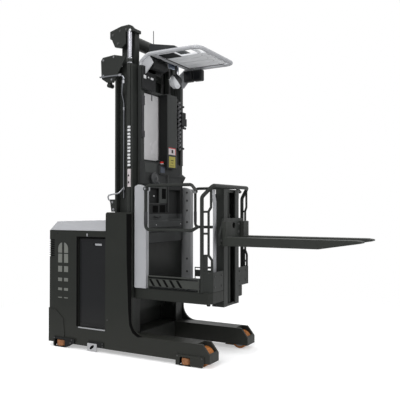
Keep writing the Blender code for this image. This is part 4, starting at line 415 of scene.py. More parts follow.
def lamp_material():
    """White ball, black on its upper front."""
    m = Nodes("lamp_lens")
    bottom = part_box("roof_lamp")[0].z
    above = m.range(*m.axis("Z"), bottom + 0.146, bottom + 0.148, 0.0, 1.0)
    slant = m.add("ShaderNodeVectorMath", operation="DOT_PRODUCT")
    m.link(m.place, "Object", slant, 0)
    slant.inputs[1].default_value = LAMP_TILT
    level = Vector((*LAMP_PLACE, bottom + LAMP_MIDDLE)).dot(Vector(LAMP_TILT))
    band = m.range(slant, "Value", level + 0.0155, level + 0.0165, 0.0, 1.0)
    dark = m.math("MAXIMUM", band, above)
    cloud = m.noise(6.0, 3.0, 0.5)
    share = m.range(cloud, "Fac", 0.3, 0.7, 0.0, 1.0)
    white = m.mix(share, rgb(214, 216, 218), rgb(228, 230, 232))
    m.colour(m.mix(dark, white, rgb(30, 31, 33)))
    m.rough(m.range(*dark, 0.0, 1.0, 0.22, 0.55))
    return m


def dress(names, made):
    """The look of whole CAD nodes."""
    for name in names:
        for slot in NODES[name].material_slots:
            slot.material = made.material


def both(*names):
    """Names of the near and the far node of each pair."""
    return [f"{name}_{label}" for name in names for label, _ in SIDES]


def dress_wheels():
    """Treads and hubs of the drive wheel, the load wheels and the side guide rollers."""
    looks = [("drive_wheel", "wheel_drive", "y", 0.121, ORANGE)]
    looks += [(f"load_wheels_{label}", f"wheel_load_{label}", "y", 0.065, ORANGE) for label, _ in SIDES]
    looks += [(f"guide_roller_{place}_{label}", f"guide_roller_{place}_{label}_look", "z", 0.022, ORANGE_DULL)
              for label, _ in SIDES for place in ("front", "rear")]
    for name, look, axis, hub_radius, tread in looks:
        low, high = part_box(name)
        dress([name], wheel(look, (low + high) / 2, axis, hub_radius, tread, HUB))


def dress_nodes():
    """Every visible CAD node gets its look."""
    dress(["chassis_body"], chassis_material())
    dress(["cab_floor", *both("leg")], PAINT_BODY)
    dress(["cab_frame"], frame_material())
    dress(["outer_mast", "inner_mast", "hose_box", "cab_carriage", "front_guard", "fork_mast",
           "fork_carriage", *both("lift_cylinder", "side_gate")], PAINT_MAST)
    dress(["hood", "roof_frame", "cab_post_near", *both("front_trim")], PAINT_LIGHT)
    # the far post gets the darker grey as painted shade
    dress(["cab_post_far"], PAINT_SHADED)
    dress(["roof_slats"], PAINT_SLATS)
    dress(both("battery_door"), PAINT_DOOR)
    dress(both("fork"), PAINT_FORK)
    dress(["console"], console_material())
    dress(["steering_knob"], PLASTIC_KNOB)
    dress(["work_lamps", "horn"], PLASTIC_BLACK)
    dress(["roof_cover"], PLASTIC_COVER)
    dress(["floor_mat"], RUBBER_MAT)
    dress(["coil_cable"], RUBBER_CABLE)
    dress(["hydraulic_pipe"], PIPE)
    dress(both("lift_rod"), CHROME)
    dress(["drive_motor", "steer_leg", *both("lift_chain")], IRON)
    dress(["battery"], BATTERY)
    dress(["cab_mirror"], MIRROR)
    dress(["mast_screen"], screen_material())
    dress(["roof_lamp"], lamp_material())
    dress_wheels()


# Pieces

SHARP_ANGLE = math.radians(35)


def piece(name, work, body, made, bevel=0.0):
    """Object from a bmesh, with its look and its body."""
    mesh = bpy.data.meshes.new(name)
    work.to_mesh(mesh)
    work.free()
    item = bpy.data.objects.new(name, mesh)
    SCENE.collection.objects.link(item)
    mesh.materials.append(made.material)
    if bevel:
        edge = item.modifiers.new("edge", "BEVEL")
        edge.width = bevel
        edge.segments = 2
        edge.limit_method = "ANGLE"
    mesh.shade_smooth()
    mesh.set_sharp_from_angle(angle=SHARP_ANGLE)
    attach(item, body)
    return item


AXIS_TURN = {
    "x": Matrix.Rotation(math.radians(90), 4, "Y"),
    "y": Matrix.Rotation(math.radians(90), 4, "X"),
    "z": Matrix.Identity(4),
}


def add_box(work, low, high):
    """Box between two corners."""
    made = bmesh.ops.create_cube(work, size=1.0)["verts"]
    size = [b - a for a, b in zip(low, high)]
    middle = [(a + b) / 2 for a, b in zip(low, high)]
    bmesh.ops.scale(work, verts=made, vec=size)
    bmesh.ops.translate(work, verts=made, vec=middle)


def add_rod(work, radius, centre, length, axis, sides):
    """Round or many-sided rod along one axis."""
    made = bmesh.ops.create_cone(work, cap_ends=True, segments=sides, radius1=radius, radius2=radius,
                                 depth=length)
    matrix = Matrix.Translation(centre) @ AXIS_TURN[axis]
    bmesh.ops.transform(work, matrix=matrix, verts=made["verts"])


def add_prism(work, first, second):
    """Closed body between two matching rings of points."""
    rings = [[work.verts.new(point) for point in ring] for ring in (first, second)]
    made = [work.faces.new(rings[0]), work.faces.new(rings[1][::-1])]
    for index in range(len(first)):
        other = (index + 1) % len(first)
        made.append(work.faces.new((rings[0][other], rings[0][index], rings[1][index], rings[1][other])))
    bmesh.ops.recalc_face_normals(work, faces=made)


def add_plate(work, outline, low, high):
    """Flat plate with its outline in x and z, between two places on y."""
    add_prism(work, *[[(x, y, z) for x, z in outline] for y in (low, high)])


def plates(name, body, made, outlines, low, high):
    """Plates with outlines in x and z on both sides of the truck."""
    work = bmesh.new()
    for side in (NEAR, FAR):
        for outline in outlines:
            add_plate(work, outline, side * low, side * high)
    return piece(name, work, body, made)


def add_arc(work, side, centre, inner, outer, spread, low, high, steps=8):
    """Part of an upright tube wall that faces outward on one side."""
    turns = [math.radians(spread * (2 * i / steps - 1)) for i in range(steps + 1)]
    ring = [(outer, turn) for turn in turns] + [(inner, turn) for turn in reversed(turns)]
    outline = [(centre[0] + size * math.sin(turn), side * (centre[1] + size * math.cos(turn)))
               for size, turn in ring]
    add_prism(work, *[[(x, y, z) for x, y in outline] for z in (low, high)])


WASHER = 0.0016                 # thickness
WASHER_SHARE = 1.35             # washer radius over head radius
AXIS_STEP = {"x": (1, 0, 0), "y": (0, 1, 0), "z": (0, 0, 1)}


def bolts(name, places, axis, body, radius=0.008, height=0.005, made=STEEL):
    """Hexagon bolt heads on washers; each place is the point where the washer sits."""
    work = bmesh.new()
    for point, sense in places:
        step = Vector(AXIS_STEP[axis]) * sense
        add_rod(work, radius * WASHER_SHARE, Vector(point) + step * (WASHER / 2), WASHER, axis, 18)
        add_rod(work, radius, Vector(point) + step * (WASHER + height / 2), height, axis, 6)
    return piece(name, work, body, made)


def sided(side, low, high):
    """Corners of a box that is given by its distances off the centre line."""
    y = sorted((side * low[1], side * high[1]))
    return (low[0], y[0], low[2]), (high[0], y[1], high[2])


def shape(name, body, made, boxes=(), rods=(), bevel=0.0, mirror=False):
    """Piece from tables, on one side or both.

    A box is its low and its high corner. A rod is its radius, its two ends along the axis, the
    other two coordinates of its centre, and the axis.
    """
    work = bmesh.new()
    for side in (NEAR, FAR) if mirror else (1,):
        for low, high in boxes:
            add_box(work, *sided(side, low, high))
        for radius, low, high, centre, axis in rods:
            if axis == "y":
                low, high = sorted((side * low, side * high))
            elif axis == "x":
                centre = (side * centre[0], centre[1])
            else:
                centre = (centre[0], side * centre[1])
            middle = (low + high) / 2
            place = {"x": (middle, *centre), "y": (centre[0], middle, centre[1]), "z": (*centre, middle)}[axis]
            add_rod(work, radius, place, high - low, axis, 24)
    return piece(name, work, body, made, bevel)


def tube_piece(name, points, radius, body, made, steps=2):
    """Round tube along a path, as a mesh."""
    curve = bpy.data.curves.new(name, "CURVE")
    curve.dimensions = "3D"
    curve.bevel_depth = radius
    curve.bevel_resolution = steps
    curve.use_fill_caps = True
    spline = curve.splines.new("POLY")
    spline.points.add(len(points) - 1)
    for point, place in zip(spline.points, points):
        point.co = (*place, 1.0)
    holder = bpy.data.objects.new(name, curve)
    SCENE.collection.objects.link(holder)
    mesh = bpy.data.meshes.new_from_object(holder.evaluated_get(bpy.context.evaluated_depsgraph_get()))
    bpy.data.objects.remove(holder, do_unlink=True)
    item = bpy.data.objects.new(name, mesh)
    SCENE.collection.objects.link(item)
    mesh.materials.clear()
    mesh.materials.append(made.material)
    mesh.shade_smooth()
    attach(item, body)
    return item


def both_sides(points, sense=1):
    """Bolt places on both sides: x, distance off the centre line, z, and the way the head points."""
    return [((x, side * y, z), side * sense) for side in (NEAR, FAR) for x, y, z in points]


# Fittings: planes, axes and steps of the CAD that they sit on, in metres. Places given for both
# sides of the truck hold the distance off its centre line instead of y.

SKIN = 0.494                    # chassis side wall
EDGE = 0.500                    # bumper skirt and foot plates
RELIEF = 0.0012                 # height of a mark over the face it lies on
SUNK = 0.002                    # depth of a mark inside that face
LOUVRE_PITCH = 0.0235
PATTERN_X = -1.430              # middle of the round window pattern
INLAY_X = (-1.498, -1.416)
INLAY_WIDTH = 0.054
CYLINDER_AXIS = (-0.605, 0.447)
MARK_AXIS = (-0.598, 0.447)     # middle of the curved marks in front of the lift cylinders
MARK_INNER = 0.0290
PIPE_AXIS = (-0.691, -0.4253)   # pipe down the near rail
CHAIN_Y = 0.305
CHAIN_PITCH = 0.019
COIL_AXIS = (-0.462, 0.262)
COIL_RADIUS = 0.0125
COIL_PITCH = 0.0430
STRAND_RADIUS = 0.0105
CONSOLE_FACE = -0.440
STOP_AXIS = (-0.452, -0.098)
KEY_AXIS = (-0.486, -0.113)
LABEL_X = (-0.3963, -0.3950)    # blank labels on the cover strip
MARK_X = (-0.3952, -0.3946)     # plain marks on those labels


def facing(x, *spots):
    """Boxes between two places on x; each spot gives y and z of its two corners."""
    return [((x[0], y, z), (x[1], to_y, to_z)) for y, z, to_y, to_z in spots]


def lying(z, *spots):
    """Boxes between two heights; each spot gives x and y of its two corners."""
    return [((x, y, z[0]), (to_x, to_y, z[1])) for x, y, to_x, to_y in spots]


def outward(*spots):
    """Boxes on the chassis sides; each spot gives x and z of its corners and its height over the skin."""
    return [((x, SKIN - SUNK, z), (to_x, SKIN + height, to_z)) for x, z, to_x, to_z, height in spots]


def arc_points(centre, radius, start, end, steps):
    """Points on part of a circle, between two angles."""
    turns = (start + (end - start) * i / steps for i in range(steps + 1))
    return [(centre[0] + radius * math.cos(turn), centre[1] + radius * math.sin(turn)) for turn in turns]


def side_pattern():
    """Window-like inlays with a crown in two halves, round holes and slits on the chassis sides."""
    rows = ((0.884, 0.976), (0.787, 0.847), (0.688, 0.724), (0.592, 0.619), (0.512, 0.522))
    inlays = outward(*[(x, low, x + INLAY_WIDTH, high, RELIEF) for low, high in rows for x in INLAY_X])
    shape("side_inlays", "chassis", PAINT_INLAY, inlays, mirror=True, bevel=0.0008)
    crown = [(0.015, 0.988), (0.068, 0.988), *arc_points((0.0, 1.030), 0.068, 0.0, math.pi * 9 / 22, 9),
             (0.015, 1.096)]
    halves = [[(PATTERN_X + turn * x, z) for x, z in crown] for turn in (-1, 1)]
    plates("side_crown", "chassis", PAINT_INLAY, halves, SKIN - 0.001, SKIN + RELIEF)
    shape("side_holes", "chassis", PLASTIC_BLACK, mirror=True,
          rods=[(0.013, SKIN - 0.001, SKIN + 0.0016, (PATTERN_X, 1.040), "y"),
                (0.010, SKIN - 0.001, SKIN + 0.0010, (-1.509, 1.192), "y")])
    slits = [(-1.604, 0.949 + LOUVRE_PITCH * row, -1.550, 0.960 + LOUVRE_PITCH * row, 0.0008)
             for row in range(8)]
    shape("side_slits", "chassis", PLASTIC_DARK, outward(*slits), mirror=True)


def door_details():
    """Lock and blank plate of each battery door, which swing with it."""
    for label, side in SIDES:
        work = bmesh.new()
        add_rod(work, 0.0140, (-1.049, side * 0.472, 1.083), 0.012, "y", 24)
        add_box(work, *sided(side, (-1.051, 0.470, 1.078), (-1.047, 0.4788, 1.088)))
        piece(f"door_lock_{label}", work, f"door_{label}", PLASTIC_BLACK, 0.0006)
        work = bmesh.new()
        add_box(work, *sided(side, (-1.013, 0.474, 1.076), (-0.930, 0.4765, 1.095)))
        piece(f"door_plate_{label}", work, f"door_{label}", PAINT_LIGHT, 0.0006)


def chassis_fittings():
    """Trim, seals, bolts, dark openings and painted shade of the chassis and its legs."""
    shape("door_sill", "chassis", PAINT_LIGHT, mirror=True, bevel=0.0008,
          boxes=[((-1.222, SKIN - 0.004, 0.222), (-0.872, SKIN + 0.003, 0.234)),
                 ((-1.112, SKIN - 0.002, 1.168), (-1.100, SKIN + 0.002, 1.196))])
    side_pattern()
    shape("door_seal", "chassis", PLASTIC_DARK, mirror=True,
          boxes=outward((-1.2465, 0.236, -1.2240, 1.164, 0.0008), (-1.2240, 1.150, -0.8720, 1.164, 0.0008)))
    # Dark band along the leg's edge and fillet, between the foot plate and the post: painted shade
    fillet = arc_points((-0.388, 0.370), 0.155, math.pi, math.pi * 1.5, 8)
    rear = [(-0.470, 0.205), (-0.530, 0.240), (-0.567, 0.310), (-0.580, 0.450), (-0.600, 0.950),
            (-0.604, 1.400)]
    plates("foot_edge_shade", "chassis", PLASTIC_DARK, [[(-0.543, 1.400), *fillet, *rear]],
           EDGE - 0.001, EDGE + 0.0008)
    heads = both_sides([(-1.290, 0.512, 0.090), (-1.312, 0.512, 0.056), (-1.532, 0.512, 0.092),
                        (-0.897, 0.504, 0.092), (-0.897, 0.504, 0.062), (-0.838, EDGE, 0.336),
                        (-0.010, EDGE + 0.012, 0.090), (0.250, EDGE + 0.012, 0.090)])
    bolts("chassis_bolts", heads, "y", "chassis", 0.0065, 0.004, IRON)
    bolts("axle_caps", both_sides([(0.215, EDGE, 0.0875)]), "y", "chassis", 0.016, 0.004, IRON)
    door_details()
    shape("pocket_ends", "chassis", PLASTIC_DARK, mirror=True,
          boxes=[((-1.5420, 0.440, 0.018), (-1.5235, 0.5100, 0.079)),
                 ((-0.0265, 0.440, 0.018), (0.0160, 0.5100, 0.079))])
    tilt = Matrix.Rotation(math.radians(38), 2)
    ring = (2 * math.pi * i / 20 for i in range(20))
    hole = [Vector((-1.029, 0.045)) + tilt @ Vector((0.034 * math.cos(a), 0.014 * math.sin(a))) for a in ring]
    plates("slot_marks", "chassis", PLASTIC_DARK, [hole], 0.5072, 0.5086)
    grooves = [((-1.600, -0.290, 0.960 + LOUVRE_PITCH * row), (-1.592, 0.290, 0.962 + LOUVRE_PITCH * row))
               for row in range(7)]
    shape("grille_mesh", "chassis", IRON, grooves)


def mast_arcs(name, made, spans, spread, outer):
    """Curved marks in front of both lift cylinders, one for each span of height."""
    work = bmesh.new()
    for side in (NEAR, FAR):
        for low, high in spans:
            add_arc(work, side, MARK_AXIS, MARK_INNER, outer, spread, low, high)
    piece(name, work, "chassis", made)


def mast_fittings():
    """Bolts, marks, pipe fittings and chains of the two mast stages."""
    bolts("cross_bolts", [((-0.785, side * y, z), -1) for side in (NEAR, FAR) for y in (0.405, 0.445)
                          for z in (1.280, 1.340, 2.780, 2.850)], "x", "chassis", 0.009, 0.006)
    hooks = both_sides([(-0.805, 0.461, 3.205), (-0.740, 0.461, 3.110), (-0.640, 0.461, 3.240),
                        (-0.715, 0.461, 3.235)])
    bolts("hook_bolts", hooks, "y", "mast", 0.010, 0.006, IRON)
    shape("rod_caps", "mast", PLASTIC_WHITE, mirror=True,
          rods=[(0.013, 0.4595, 0.4690, (-0.590, 3.226), "y")])
    shape("cylinder_rings", "chassis", STEEL, mirror=True,
          rods=[(0.0296, 2.944, 2.9535, CYLINDER_AXIS, "z"), (0.0296, 2.900, 2.906, CYLINDER_AXIS, "z")])
    bars = [(1.872 + 0.0345 * i, 1.896 + 0.0345 * i - 0.004 * (i % 2)) for i in range(12)]
    mast_arcs("mast_marks", PLASTIC_WHITE, bars, 38, 0.0303)
    mast_arcs("mast_label", LABEL_PALE, [(1.668, 1.845)], 52, 0.0303)
    mast_arcs("mast_label_dots", PLASTIC_BLACK, [(1.770, 1.790), (1.702, 1.722)], 16, 0.0306)
    tail = [(*PIPE_AXIS, 1.665), (-0.696, -0.455, 1.636), (-0.706, -0.478, 1.614),
            (-0.726, -0.4845, 1.603), (-0.800, -0.4845, 1.594), (-0.834, -0.482, 1.588),
            (-0.852, -0.476, 1.570), (-0.850, -0.468, 1.545), (-0.832, -0.463, 1.530)]
    tube_piece("pipe_tail", tail, 0.0080, "chassis", STEEL)
    work = bmesh.new()
    add_plate(work, [(-0.764, 1.545), (-0.836, 1.545), (-0.816, 1.421), (-0.764, 1.421)], -0.470, -0.458)
    piece("hose_gusset", work, "chassis", PAINT_MAST, 0.003)
    bolts("gusset_bolts", [((-0.800, -0.470, 1.518), -1), ((-0.787, -0.470, 1.445), -1)],
          "y", "chassis", 0.009, 0.006)
    shape("pipe_fittings", "chassis", STEEL,
          rods=[(0.014, -0.700, -0.668, (-0.4966, 2.7815), "x"),
                (0.0135, 2.695, 2.725, (-0.6485, -0.4966), "z"),
                (0.0135, 2.440, 2.470, PIPE_AXIS, "z"), (0.0135, 1.640, 1.670, PIPE_AXIS, "z")])
    corners = ((-0.905, 2.955), (-0.775, 2.975), (-0.905, 2.800), (-0.800, 2.750))
    bolts("hose_box_bolts", [((x, -0.4873, z), -1) for x, z in corners], "y", "chassis", 0.0075)
    leaf_chains()


def leaf_chains():
    """Leaf chain over each sheave: rows of plates and pins along the CAD chain's falls."""
    low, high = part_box("lift_chain_near")
    for label, side in SIDES:
        work = bmesh.new()
        for x in (low.x + 0.005, high.x - 0.005):
            z = low.z + 0.012
            step = 0
            while z < high.z - 0.070:
                spread = (0.0092, 0.0046) if step % 2 else (0.0070, 0.0023)
                top = z + CHAIN_PITCH * 1.55
                for off in spread:
                    for sign in (-1, 1):
                        y = side * CHAIN_Y + sign * off
                        add_box(work, (x - 0.0072, y - 0.0010, z), (x + 0.0072, y + 0.0010, top))
                add_rod(work, 0.0030, (x, side * CHAIN_Y, z + CHAIN_PITCH * 0.28), 0.021, "y", 8)
                z += CHAIN_PITCH
                step += 1
        piece(f"leaf_chain_{label}", work, "mast", IRON)


def coil_points(low, high, steps=14):
    """Turns of the coiled cable between two heights."""
    turns = int((high - low) / COIL_PITCH)
    spots = arc_points(COIL_AXIS, COIL_RADIUS, 0.0, 2 * math.pi * turns, turns * steps)
    return [(x, y, low + (high - low) * i / (turns * steps)) for i, (x, y) in enumerate(spots)]


def cable_fittings():
    """Wound cable and its clips, in place of the plain CAD cable."""
    low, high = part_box("coil_cable")
    route = [(*COIL_AXIS, low.z), *coil_points(low.z + 0.006, high.z - 0.006), (*COIL_AXIS, high.z)]
    coil = tube_piece("coil_wound", route, STRAND_RADIUS, "cab", RUBBER_COIL)
    heights = ((2.100, 2.122), (2.345, 2.375), (2.425, 2.455), (2.560, 2.582))
    clips = shape("coil_clips", "cab", PLASTIC_BLACK, bevel=0.004,
                  boxes=[((-0.508, 0.268, z), (-0.4475, 0.3516, top)) for z, top in heights] +
                  [((-0.500, 0.290, 2.340), (-0.470, 0.3516, 2.460))])
    shape("coil_clamp", "cab", PLASTIC_BLACK, bevel=0.004,
          boxes=facing((-0.4475, -0.4300), (0.270, 2.356, 0.376, 2.440), (0.270, 2.440, 0.356, 2.504),
                       (0.270, 2.322, 0.362, 2.346)))
    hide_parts("coil_cable")
    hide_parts("coil_cable")


def console_controls():
    """Key knob, stop button and display on the console's top."""
    shape("key_knob", "cab", PLASTIC_BLACK, bevel=0.003,
          rods=[(0.0212, 1.9368, 1.9450, KEY_AXIS, "z")])
    shape("control_box", "cab", PLASTIC_BLACK, bevel=0.005,
          boxes=facing((-0.472, -0.4360), (-0.152, 1.798, -0.060, 1.912)))
    shape("stop_button", "cab", PLASTIC_RED, bevel=0.003,
          rods=[(0.0190, 1.9180, 1.9370, STOP_AXIS, "z")])
    # The pale disc on the button's top is a painted highlight; the ring under the button is its collar
    shape("stop_button_highlight_and_collar", "cab", PAINT_LIGHT,
          rods=[(0.0080, 1.9365, 1.9380, STOP_AXIS, "z"), (0.0225, 1.9115, 1.9185, STOP_AXIS, "z")])
    shape("console_display", "cab", GLASS_BLUE, bevel=0.0015,
          boxes=facing((-0.4380, -0.4350), (-0.146, 1.820, -0.066, 1.882)))


def console_face():
    """Panels, dark openings and pale edges on the console's front."""
    shape("console_panels", "cab", PLASTIC_PANEL, bevel=0.004,
          boxes=facing((-0.4720, -0.4480), (-0.398, 1.812, -0.200, 1.908)) +
          facing((-0.4440, -0.4365), (-0.170, 1.508, -0.119, 1.705)) +
          facing((-0.4440, -0.4368), (-0.150, 1.508, -0.018, 1.552), (-0.150, 1.657, -0.018, 1.702)) +
          facing((-0.4440, -0.4365), (-0.040, 1.508, -0.018, 1.705)))
    shape("console_gaps", "cab", PLASTIC_DARK,
          boxes=facing((-0.4440, -0.4385), (-0.119, 1.552, -0.040, 1.657), (-0.284, 1.413, -0.187, 1.483),
                       (-0.155, 1.413, -0.054, 1.490)))
    shape("console_strips", "cab", PAINT_STRIP, bevel=0.0008,
          boxes=facing((-0.430, -0.4266), (-0.018, 1.418, -0.010, 1.798)) +
          facing((CONSOLE_FACE - 0.002, CONSOLE_FACE + 0.0022), (-0.375, 1.662, -0.022, 1.670),
                 (-0.375, 1.498, -0.145, 1.505), (-0.148, 1.505, -0.138, 1.662)) +
          facing((CONSOLE_FACE - 0.004, -0.4300), (0.014, 1.330, 0.258, 1.336)))
    shape("console_dots", "cab", PLASTIC_WHITE,
          rods=[(0.008, -0.4700, -0.4620, (-0.226, 1.580), "x"),
                (0.005, -0.4405, -0.4340, (-0.223, 1.288), "x"),
                (0.005, -0.4405, -0.4340, (0.252, 1.288), "x")])


def console_labels():
    """Blank labels on the cover strip, with plain marks in place of text."""
    shape("blank_labels", "cab", LABEL_PALE, bevel=0.0003,
          boxes=facing(LABEL_X, (-0.053, 2.014, 0.083, 2.086)))
    shape("blank_label_low", "cab", LABEL_YELLOW, bevel=0.0003,
          boxes=facing(LABEL_X, (-0.046, 1.881, 0.075, 1.994)))
    shape("label_marks_dark", "cab", PLASTIC_BLACK,
          boxes=facing(MARK_X, (0.000, 2.030, 0.034, 2.066), (-0.012, 1.950, 0.042, 1.958),
                       (-0.004, 1.925, 0.034, 1.932), (-0.024, 1.897, 0.054, 1.902)))
    shape("label_marks_red", "cab", PLASTIC_RED,
          boxes=facing(MARK_X, (-0.053, 2.078, 0.083, 2.086), (0.074, 2.014, 0.083, 2.086)))


def console_fittings():
    """Everything on the console and the cover strip above it."""
    console_controls()
    console_face()
    shape("lever_buttons", "cab", PLASTIC_WHITE,
          rods=[(0.009, 1.812, 1.8235, (-0.463, 0.060 + 0.060 * i), "z") for i in range(4)])
    console_labels()
    waves = [math.sin(math.pi * i / 12) for i in range(13)]
    grip = [(-0.430 + 0.022 * wave, -0.275 + 0.010 * i, 1.372 - 0.012 * wave) for i, wave in enumerate(waves)]
    tube_piece("console_grip", grip, 0.006, "cab", PLASTIC_BLACK)
    shape("knob_cap", "cab", PLASTIC_COVER, bevel=0.002,
          rods=[(0.013, -0.3975, -0.3890, (-0.288, 1.7536), "x")])


def cab_fittings():
    """Bolts, gate pads, toe boards and seals of the cabin, the front guard and the fork carriage."""
    heights = (1.630, 1.541, 1.432, 1.304, 0.760, 0.900)
    bolts("post_bolts", both_sides([(-0.447, 0.408, z) for z in heights], -1),
          "y", "cab", 0.009, 0.006, IRON)
    for label, side in SIDES:
        bolts(f"gate_bolt_{label}", [((-0.385, side * 0.501, 1.645), side)], "y", "cab", 0.009)
        pad = [(-0.385, side * 0.485, z) for z in (1.300, 1.360, 1.420)]
        tube_piece(f"gate_pads_{label}", pad, 0.0178, f"gate_{label}", RUBBER_CABLE)
    shape("toe_boards", "cab", PAINT_TOE, mirror=True, bevel=0.002,
          boxes=[((-0.372, 0.4560, 0.704), (0.185, 0.4600, 0.778)),
                 ((-0.372, 0.4530, 0.796), (0.185, 0.4630, 0.808)),
                 ((-0.376, 0.4530, 0.676), (-0.368, 0.4630, 0.808)),
                 ((0.180, 0.4530, 0.676), (0.190, 0.4630, 0.808))])
    slots = [[(x - 0.036, 0.774), (x - 0.010, 0.774), (x + 0.036, 0.708), (x + 0.010, 0.708)]
             for x in (-0.328, -0.251, -0.175, -0.100, -0.022)]
    plates("toe_slots", "cab", PLASTIC_DARK, slots, 0.4590, 0.4616)
    shape("trim_pads", "cab", PLASTIC_BLACK, mirror=True, bevel=0.006,
          boxes=[((0.221, 0.196, 1.512), (0.239, 0.236, 1.550)),
                 ((0.221, 0.190, 1.556), (0.239, 0.236, 1.592))])
    bolts("panel_bolts", [((0.297, side * y, z), 1) for side in (NEAR, FAR) for y in (0.200, 0.345)
                          for z in (0.720, 0.820)], "x", "cab", 0.007, 0.004, IRON)
    bolts("carriage_bolts", [((0.3255, y, z), 1) for y in (-0.105, 0.105) for z in (1.150, 1.225, 1.300)] +
          [((0.3255, y, 1.150), 1) for y in (-0.275, 0.275)], "x", "fork_lift", 0.010, 0.006, IRON)
    shape("side_pad", "cab", RUBBER_CABLE, bevel=0.005,
          boxes=facing((-0.4975, -0.482), (-0.398, 2.160, -0.372, 2.580)) +
          facing((-0.4975, -0.476), (-0.402, 2.480, -0.366, 2.580), (-0.402, 2.160, -0.366, 2.230)))
    shape("screen_gasket", "cab", RUBBER_MAT, bevel=0.001,
          boxes=facing((-0.5240, -0.5180), (0.125, 1.948, 0.340, 2.620), (0.340, 1.938, 0.352, 2.630),
                       (-0.340, 1.938, 0.340, 1.948), (-0.340, 2.620, 0.340, 2.630)))


def roof_fittings():
    """Lamp lenses, cover trim, painted shade in the slat gaps and the signal housing's small parts under the
    roof.
    """
    lamp_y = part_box("work_lamps")[0].y
    for index, x in enumerate((-0.371, -0.253)):
        shape(f"work_lens_{index}", "cab", LENS, bevel=0.004,
              boxes=[((x - 0.040, lamp_y - 0.004, 2.850), (x + 0.040, lamp_y + 0.002, 2.940))])
    shape("light_bar_cover", "cab", PLASTIC_BLACK, bevel=0.002,
          boxes=lying((2.9655, 2.9700), (-0.330, -0.344, -0.157, -0.192)))
    shape("cover_band", "cab", PLASTIC_BLACK, bevel=0.001,
          boxes=lying((3.004, 3.012), (-0.5004, -0.2605, -0.180, -0.2595), (-0.5004, 0.2595, -0.180, 0.2605)))
    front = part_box("roof_slats")[1].x - 0.030
    # Grey strips closing the gaps between the slats: painted shade of the grooves
    gaps = [(-0.345, y, front, y + 0.0165) for y in (-0.0865, 0.0370, 0.1605)]
    shape("slat_gap_shade", "cab", PAINT_STRIP, lying((2.9895, 2.9905), *gaps))
    shape("slat_border", "cab", PLASTIC_BLACK, bevel=0.0005,
          boxes=lying((2.9655, 2.9690), (-0.335, 0.270, front, 0.284), (-0.349, -0.190, -0.335, 0.284)))
    shape("signal_plate", "cab", PLASTIC_BLACK, bevel=0.003,
          boxes=facing((-0.476, -0.462), (-0.425, 2.640, -0.195, 2.870), (-0.335, 2.815, -0.085, 2.875)) +
          facing((-0.472, -0.456), (-0.335, 2.945, -0.120, 2.992)))
    shape("signal_bits", "cab", PLASTIC_WHITE, bevel=0.002,
          boxes=facing((-0.463, -0.456), (-0.412, 2.742, -0.376, 2.776), (-0.338, 2.758, -0.322, 2.770),
                       (-0.290, 2.750, -0.245, 2.772)))
    shape("signal_lead", "cab", RUBBER_CABLE,
          rods=[(0.005, 2.540, 2.645, (-0.466, -0.263), "z")])
    screws = [((x, y, 2.9692), -1) for x in (-0.335, 0.045) for y in (-0.140, -0.0165, 0.107, 0.2305)]
    bolts("slat_screws", screws, "z", "cab", 0.005, 0.002)


# Stage and light

FLOOR_RADIUS = 30.0
FLOOR_TONE = 0.78               # what the floor gives back to the truck
FLOOR_SEEN = 0.80               # what the camera sees of it, lifted by a glow
FLOOR_GLOW = 0.42
FLOOR_FADE = (1.6, 4.0)         # distances between which the floor turns into the white ground
SKY_COLOUR = (0.97, 0.98, 1.0)
SKY_STRENGTH = 0.42
LAMPS = (
    # name, place, target, size across, watts
    ("key", (0.5, -6.5, 6.5), (-0.3, 0.0, 1.2), 4.0, 300.0),
    ("top", (-0.6, -0.8, 7.6), (-0.6, 0.0, 1.2), 3.0, 170.0),
    ("side", (6.5, -1.0, 4.5), (0.0, 0.0, 1.4), 3.5, 170.0),
    ("back", (-5.0, 5.0, 5.5), (-0.3, 0.0, 1.4), 3.5, 160.0),
)


def shader(tree, kind, **values):
    """Node with its inputs set by name; gives its first output."""
    node = tree.nodes.new(kind)
    for key, value in values.items():
        node.inputs[key].default_value = value
    return node.outputs[0]


def join(tree, kind, *sources):
    """Node that takes its sources in order; gives its first output."""
    node = tree.nodes.new(kind)
    for index, source in enumerate(sources):
        tree.links.new(source, node.inputs[index])
    return node.outputs[0]


def camera_seen(tree):
    """1 for rays from the camera, also through glass or off metal."""
    path = tree.nodes.new("ShaderNodeLightPath")
    seen = path.outputs["Is Camera Ray"]
    for name in ("Is Glossy Ray", "Is Transmission Ray"):
        either = tree.nodes.new("ShaderNodeMath")
        either.operation = "MAXIMUM"
        tree.links.new(seen, either.inputs[0])
        tree.links.new(path.outputs[name], either.inputs[1])
        seen = either.outputs[0]
    return seen


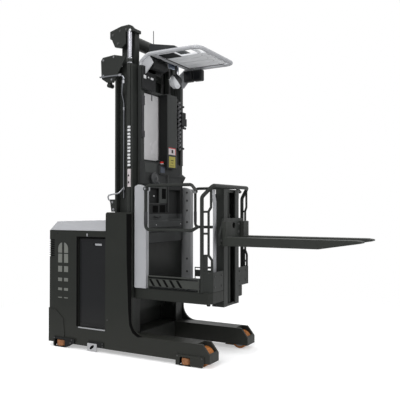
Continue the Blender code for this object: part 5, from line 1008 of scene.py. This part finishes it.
def make_floor():
    """Pale round floor that fades into white where the camera sees it."""
    mesh = bpy.data.meshes.new("floor")
    work = bmesh.new()
    bmesh.ops.create_circle(work, cap_ends=True, segments=96, radius=FLOOR_RADIUS)
    work.to_mesh(mesh)
    work.free()
    floor = bpy.data.objects.new("floor", mesh)
    SCENE.collection.objects.link(floor)
    made = bpy.data.materials.new("floor")
    made.use_nodes = True
    tree = made.node_tree
    tree.nodes.clear()
    pale = shader(tree, "ShaderNodeBsdfDiffuse", Color=grey(FLOOR_TONE))
    seen = shader(tree, "ShaderNodeBsdfDiffuse", Color=grey(FLOOR_SEEN))
    glow = shader(tree, "ShaderNodeEmission", Strength=FLOOR_GLOW)
    lit = join(tree, "ShaderNodeAddShader", seen, glow)
    white = shader(tree, "ShaderNodeEmission")
    place = tree.nodes.new("ShaderNodeTexCoord")
    away = tree.nodes.new("ShaderNodeVectorMath")
    away.operation = "LENGTH"
    tree.links.new(place.outputs["Object"], away.inputs[0])
    fade = tree.nodes.new("ShaderNodeMapRange")
    fade.inputs["From Min"].default_value, fade.inputs["From Max"].default_value = FLOOR_FADE
    tree.links.new(away.outputs["Value"], fade.inputs["Value"])
    ground = join(tree, "ShaderNodeMixShader", fade.outputs["Result"], lit, white)
    mixed = join(tree, "ShaderNodeMixShader", camera_seen(tree), pale, ground)
    tree.links.new(mixed, tree.nodes.new("ShaderNodeOutputMaterial").inputs[0])
    mesh.materials.append(made)


def make_world():
    """Soft pale sky for the truck, plain white for the camera."""
    world = bpy.data.worlds.new("studio")
    SCENE.world = world
    world.use_nodes = True
    tree = world.node_tree
    tree.nodes.clear()
    soft = shader(tree, "ShaderNodeBackground", Color=(*SKY_COLOUR, 1.0), Strength=SKY_STRENGTH)
    white = shader(tree, "ShaderNodeBackground", Color=grey(1.0), Strength=1.0)
    mixed = join(tree, "ShaderNodeMixShader", camera_seen(tree), soft, white)
    tree.links.new(mixed, tree.nodes.new("ShaderNodeOutputWorld").inputs[0])


def make_light():
    """Four soft round lamps, each aimed at its target."""
    for name, place, target, size, watts in LAMPS:
        data = bpy.data.lights.new(name, "AREA")
        data.shape = "DISK"
        data.size = size
        data.energy = watts
        item = bpy.data.objects.new(name, data)
        item.location = place
        aim = Vector(target) - Vector(place)
        item.rotation_euler = aim.to_track_quat("-Z", "Y").to_euler()
        SCENE.collection.objects.link(item)


make_camera()
dress_nodes()
chassis_fittings()
mast_fittings()
cable_fittings()
console_fittings()
cab_fittings()
roof_fittings()
make_floor()
make_world()
make_light()
SCENE.view_settings.view_transform = "Standard"
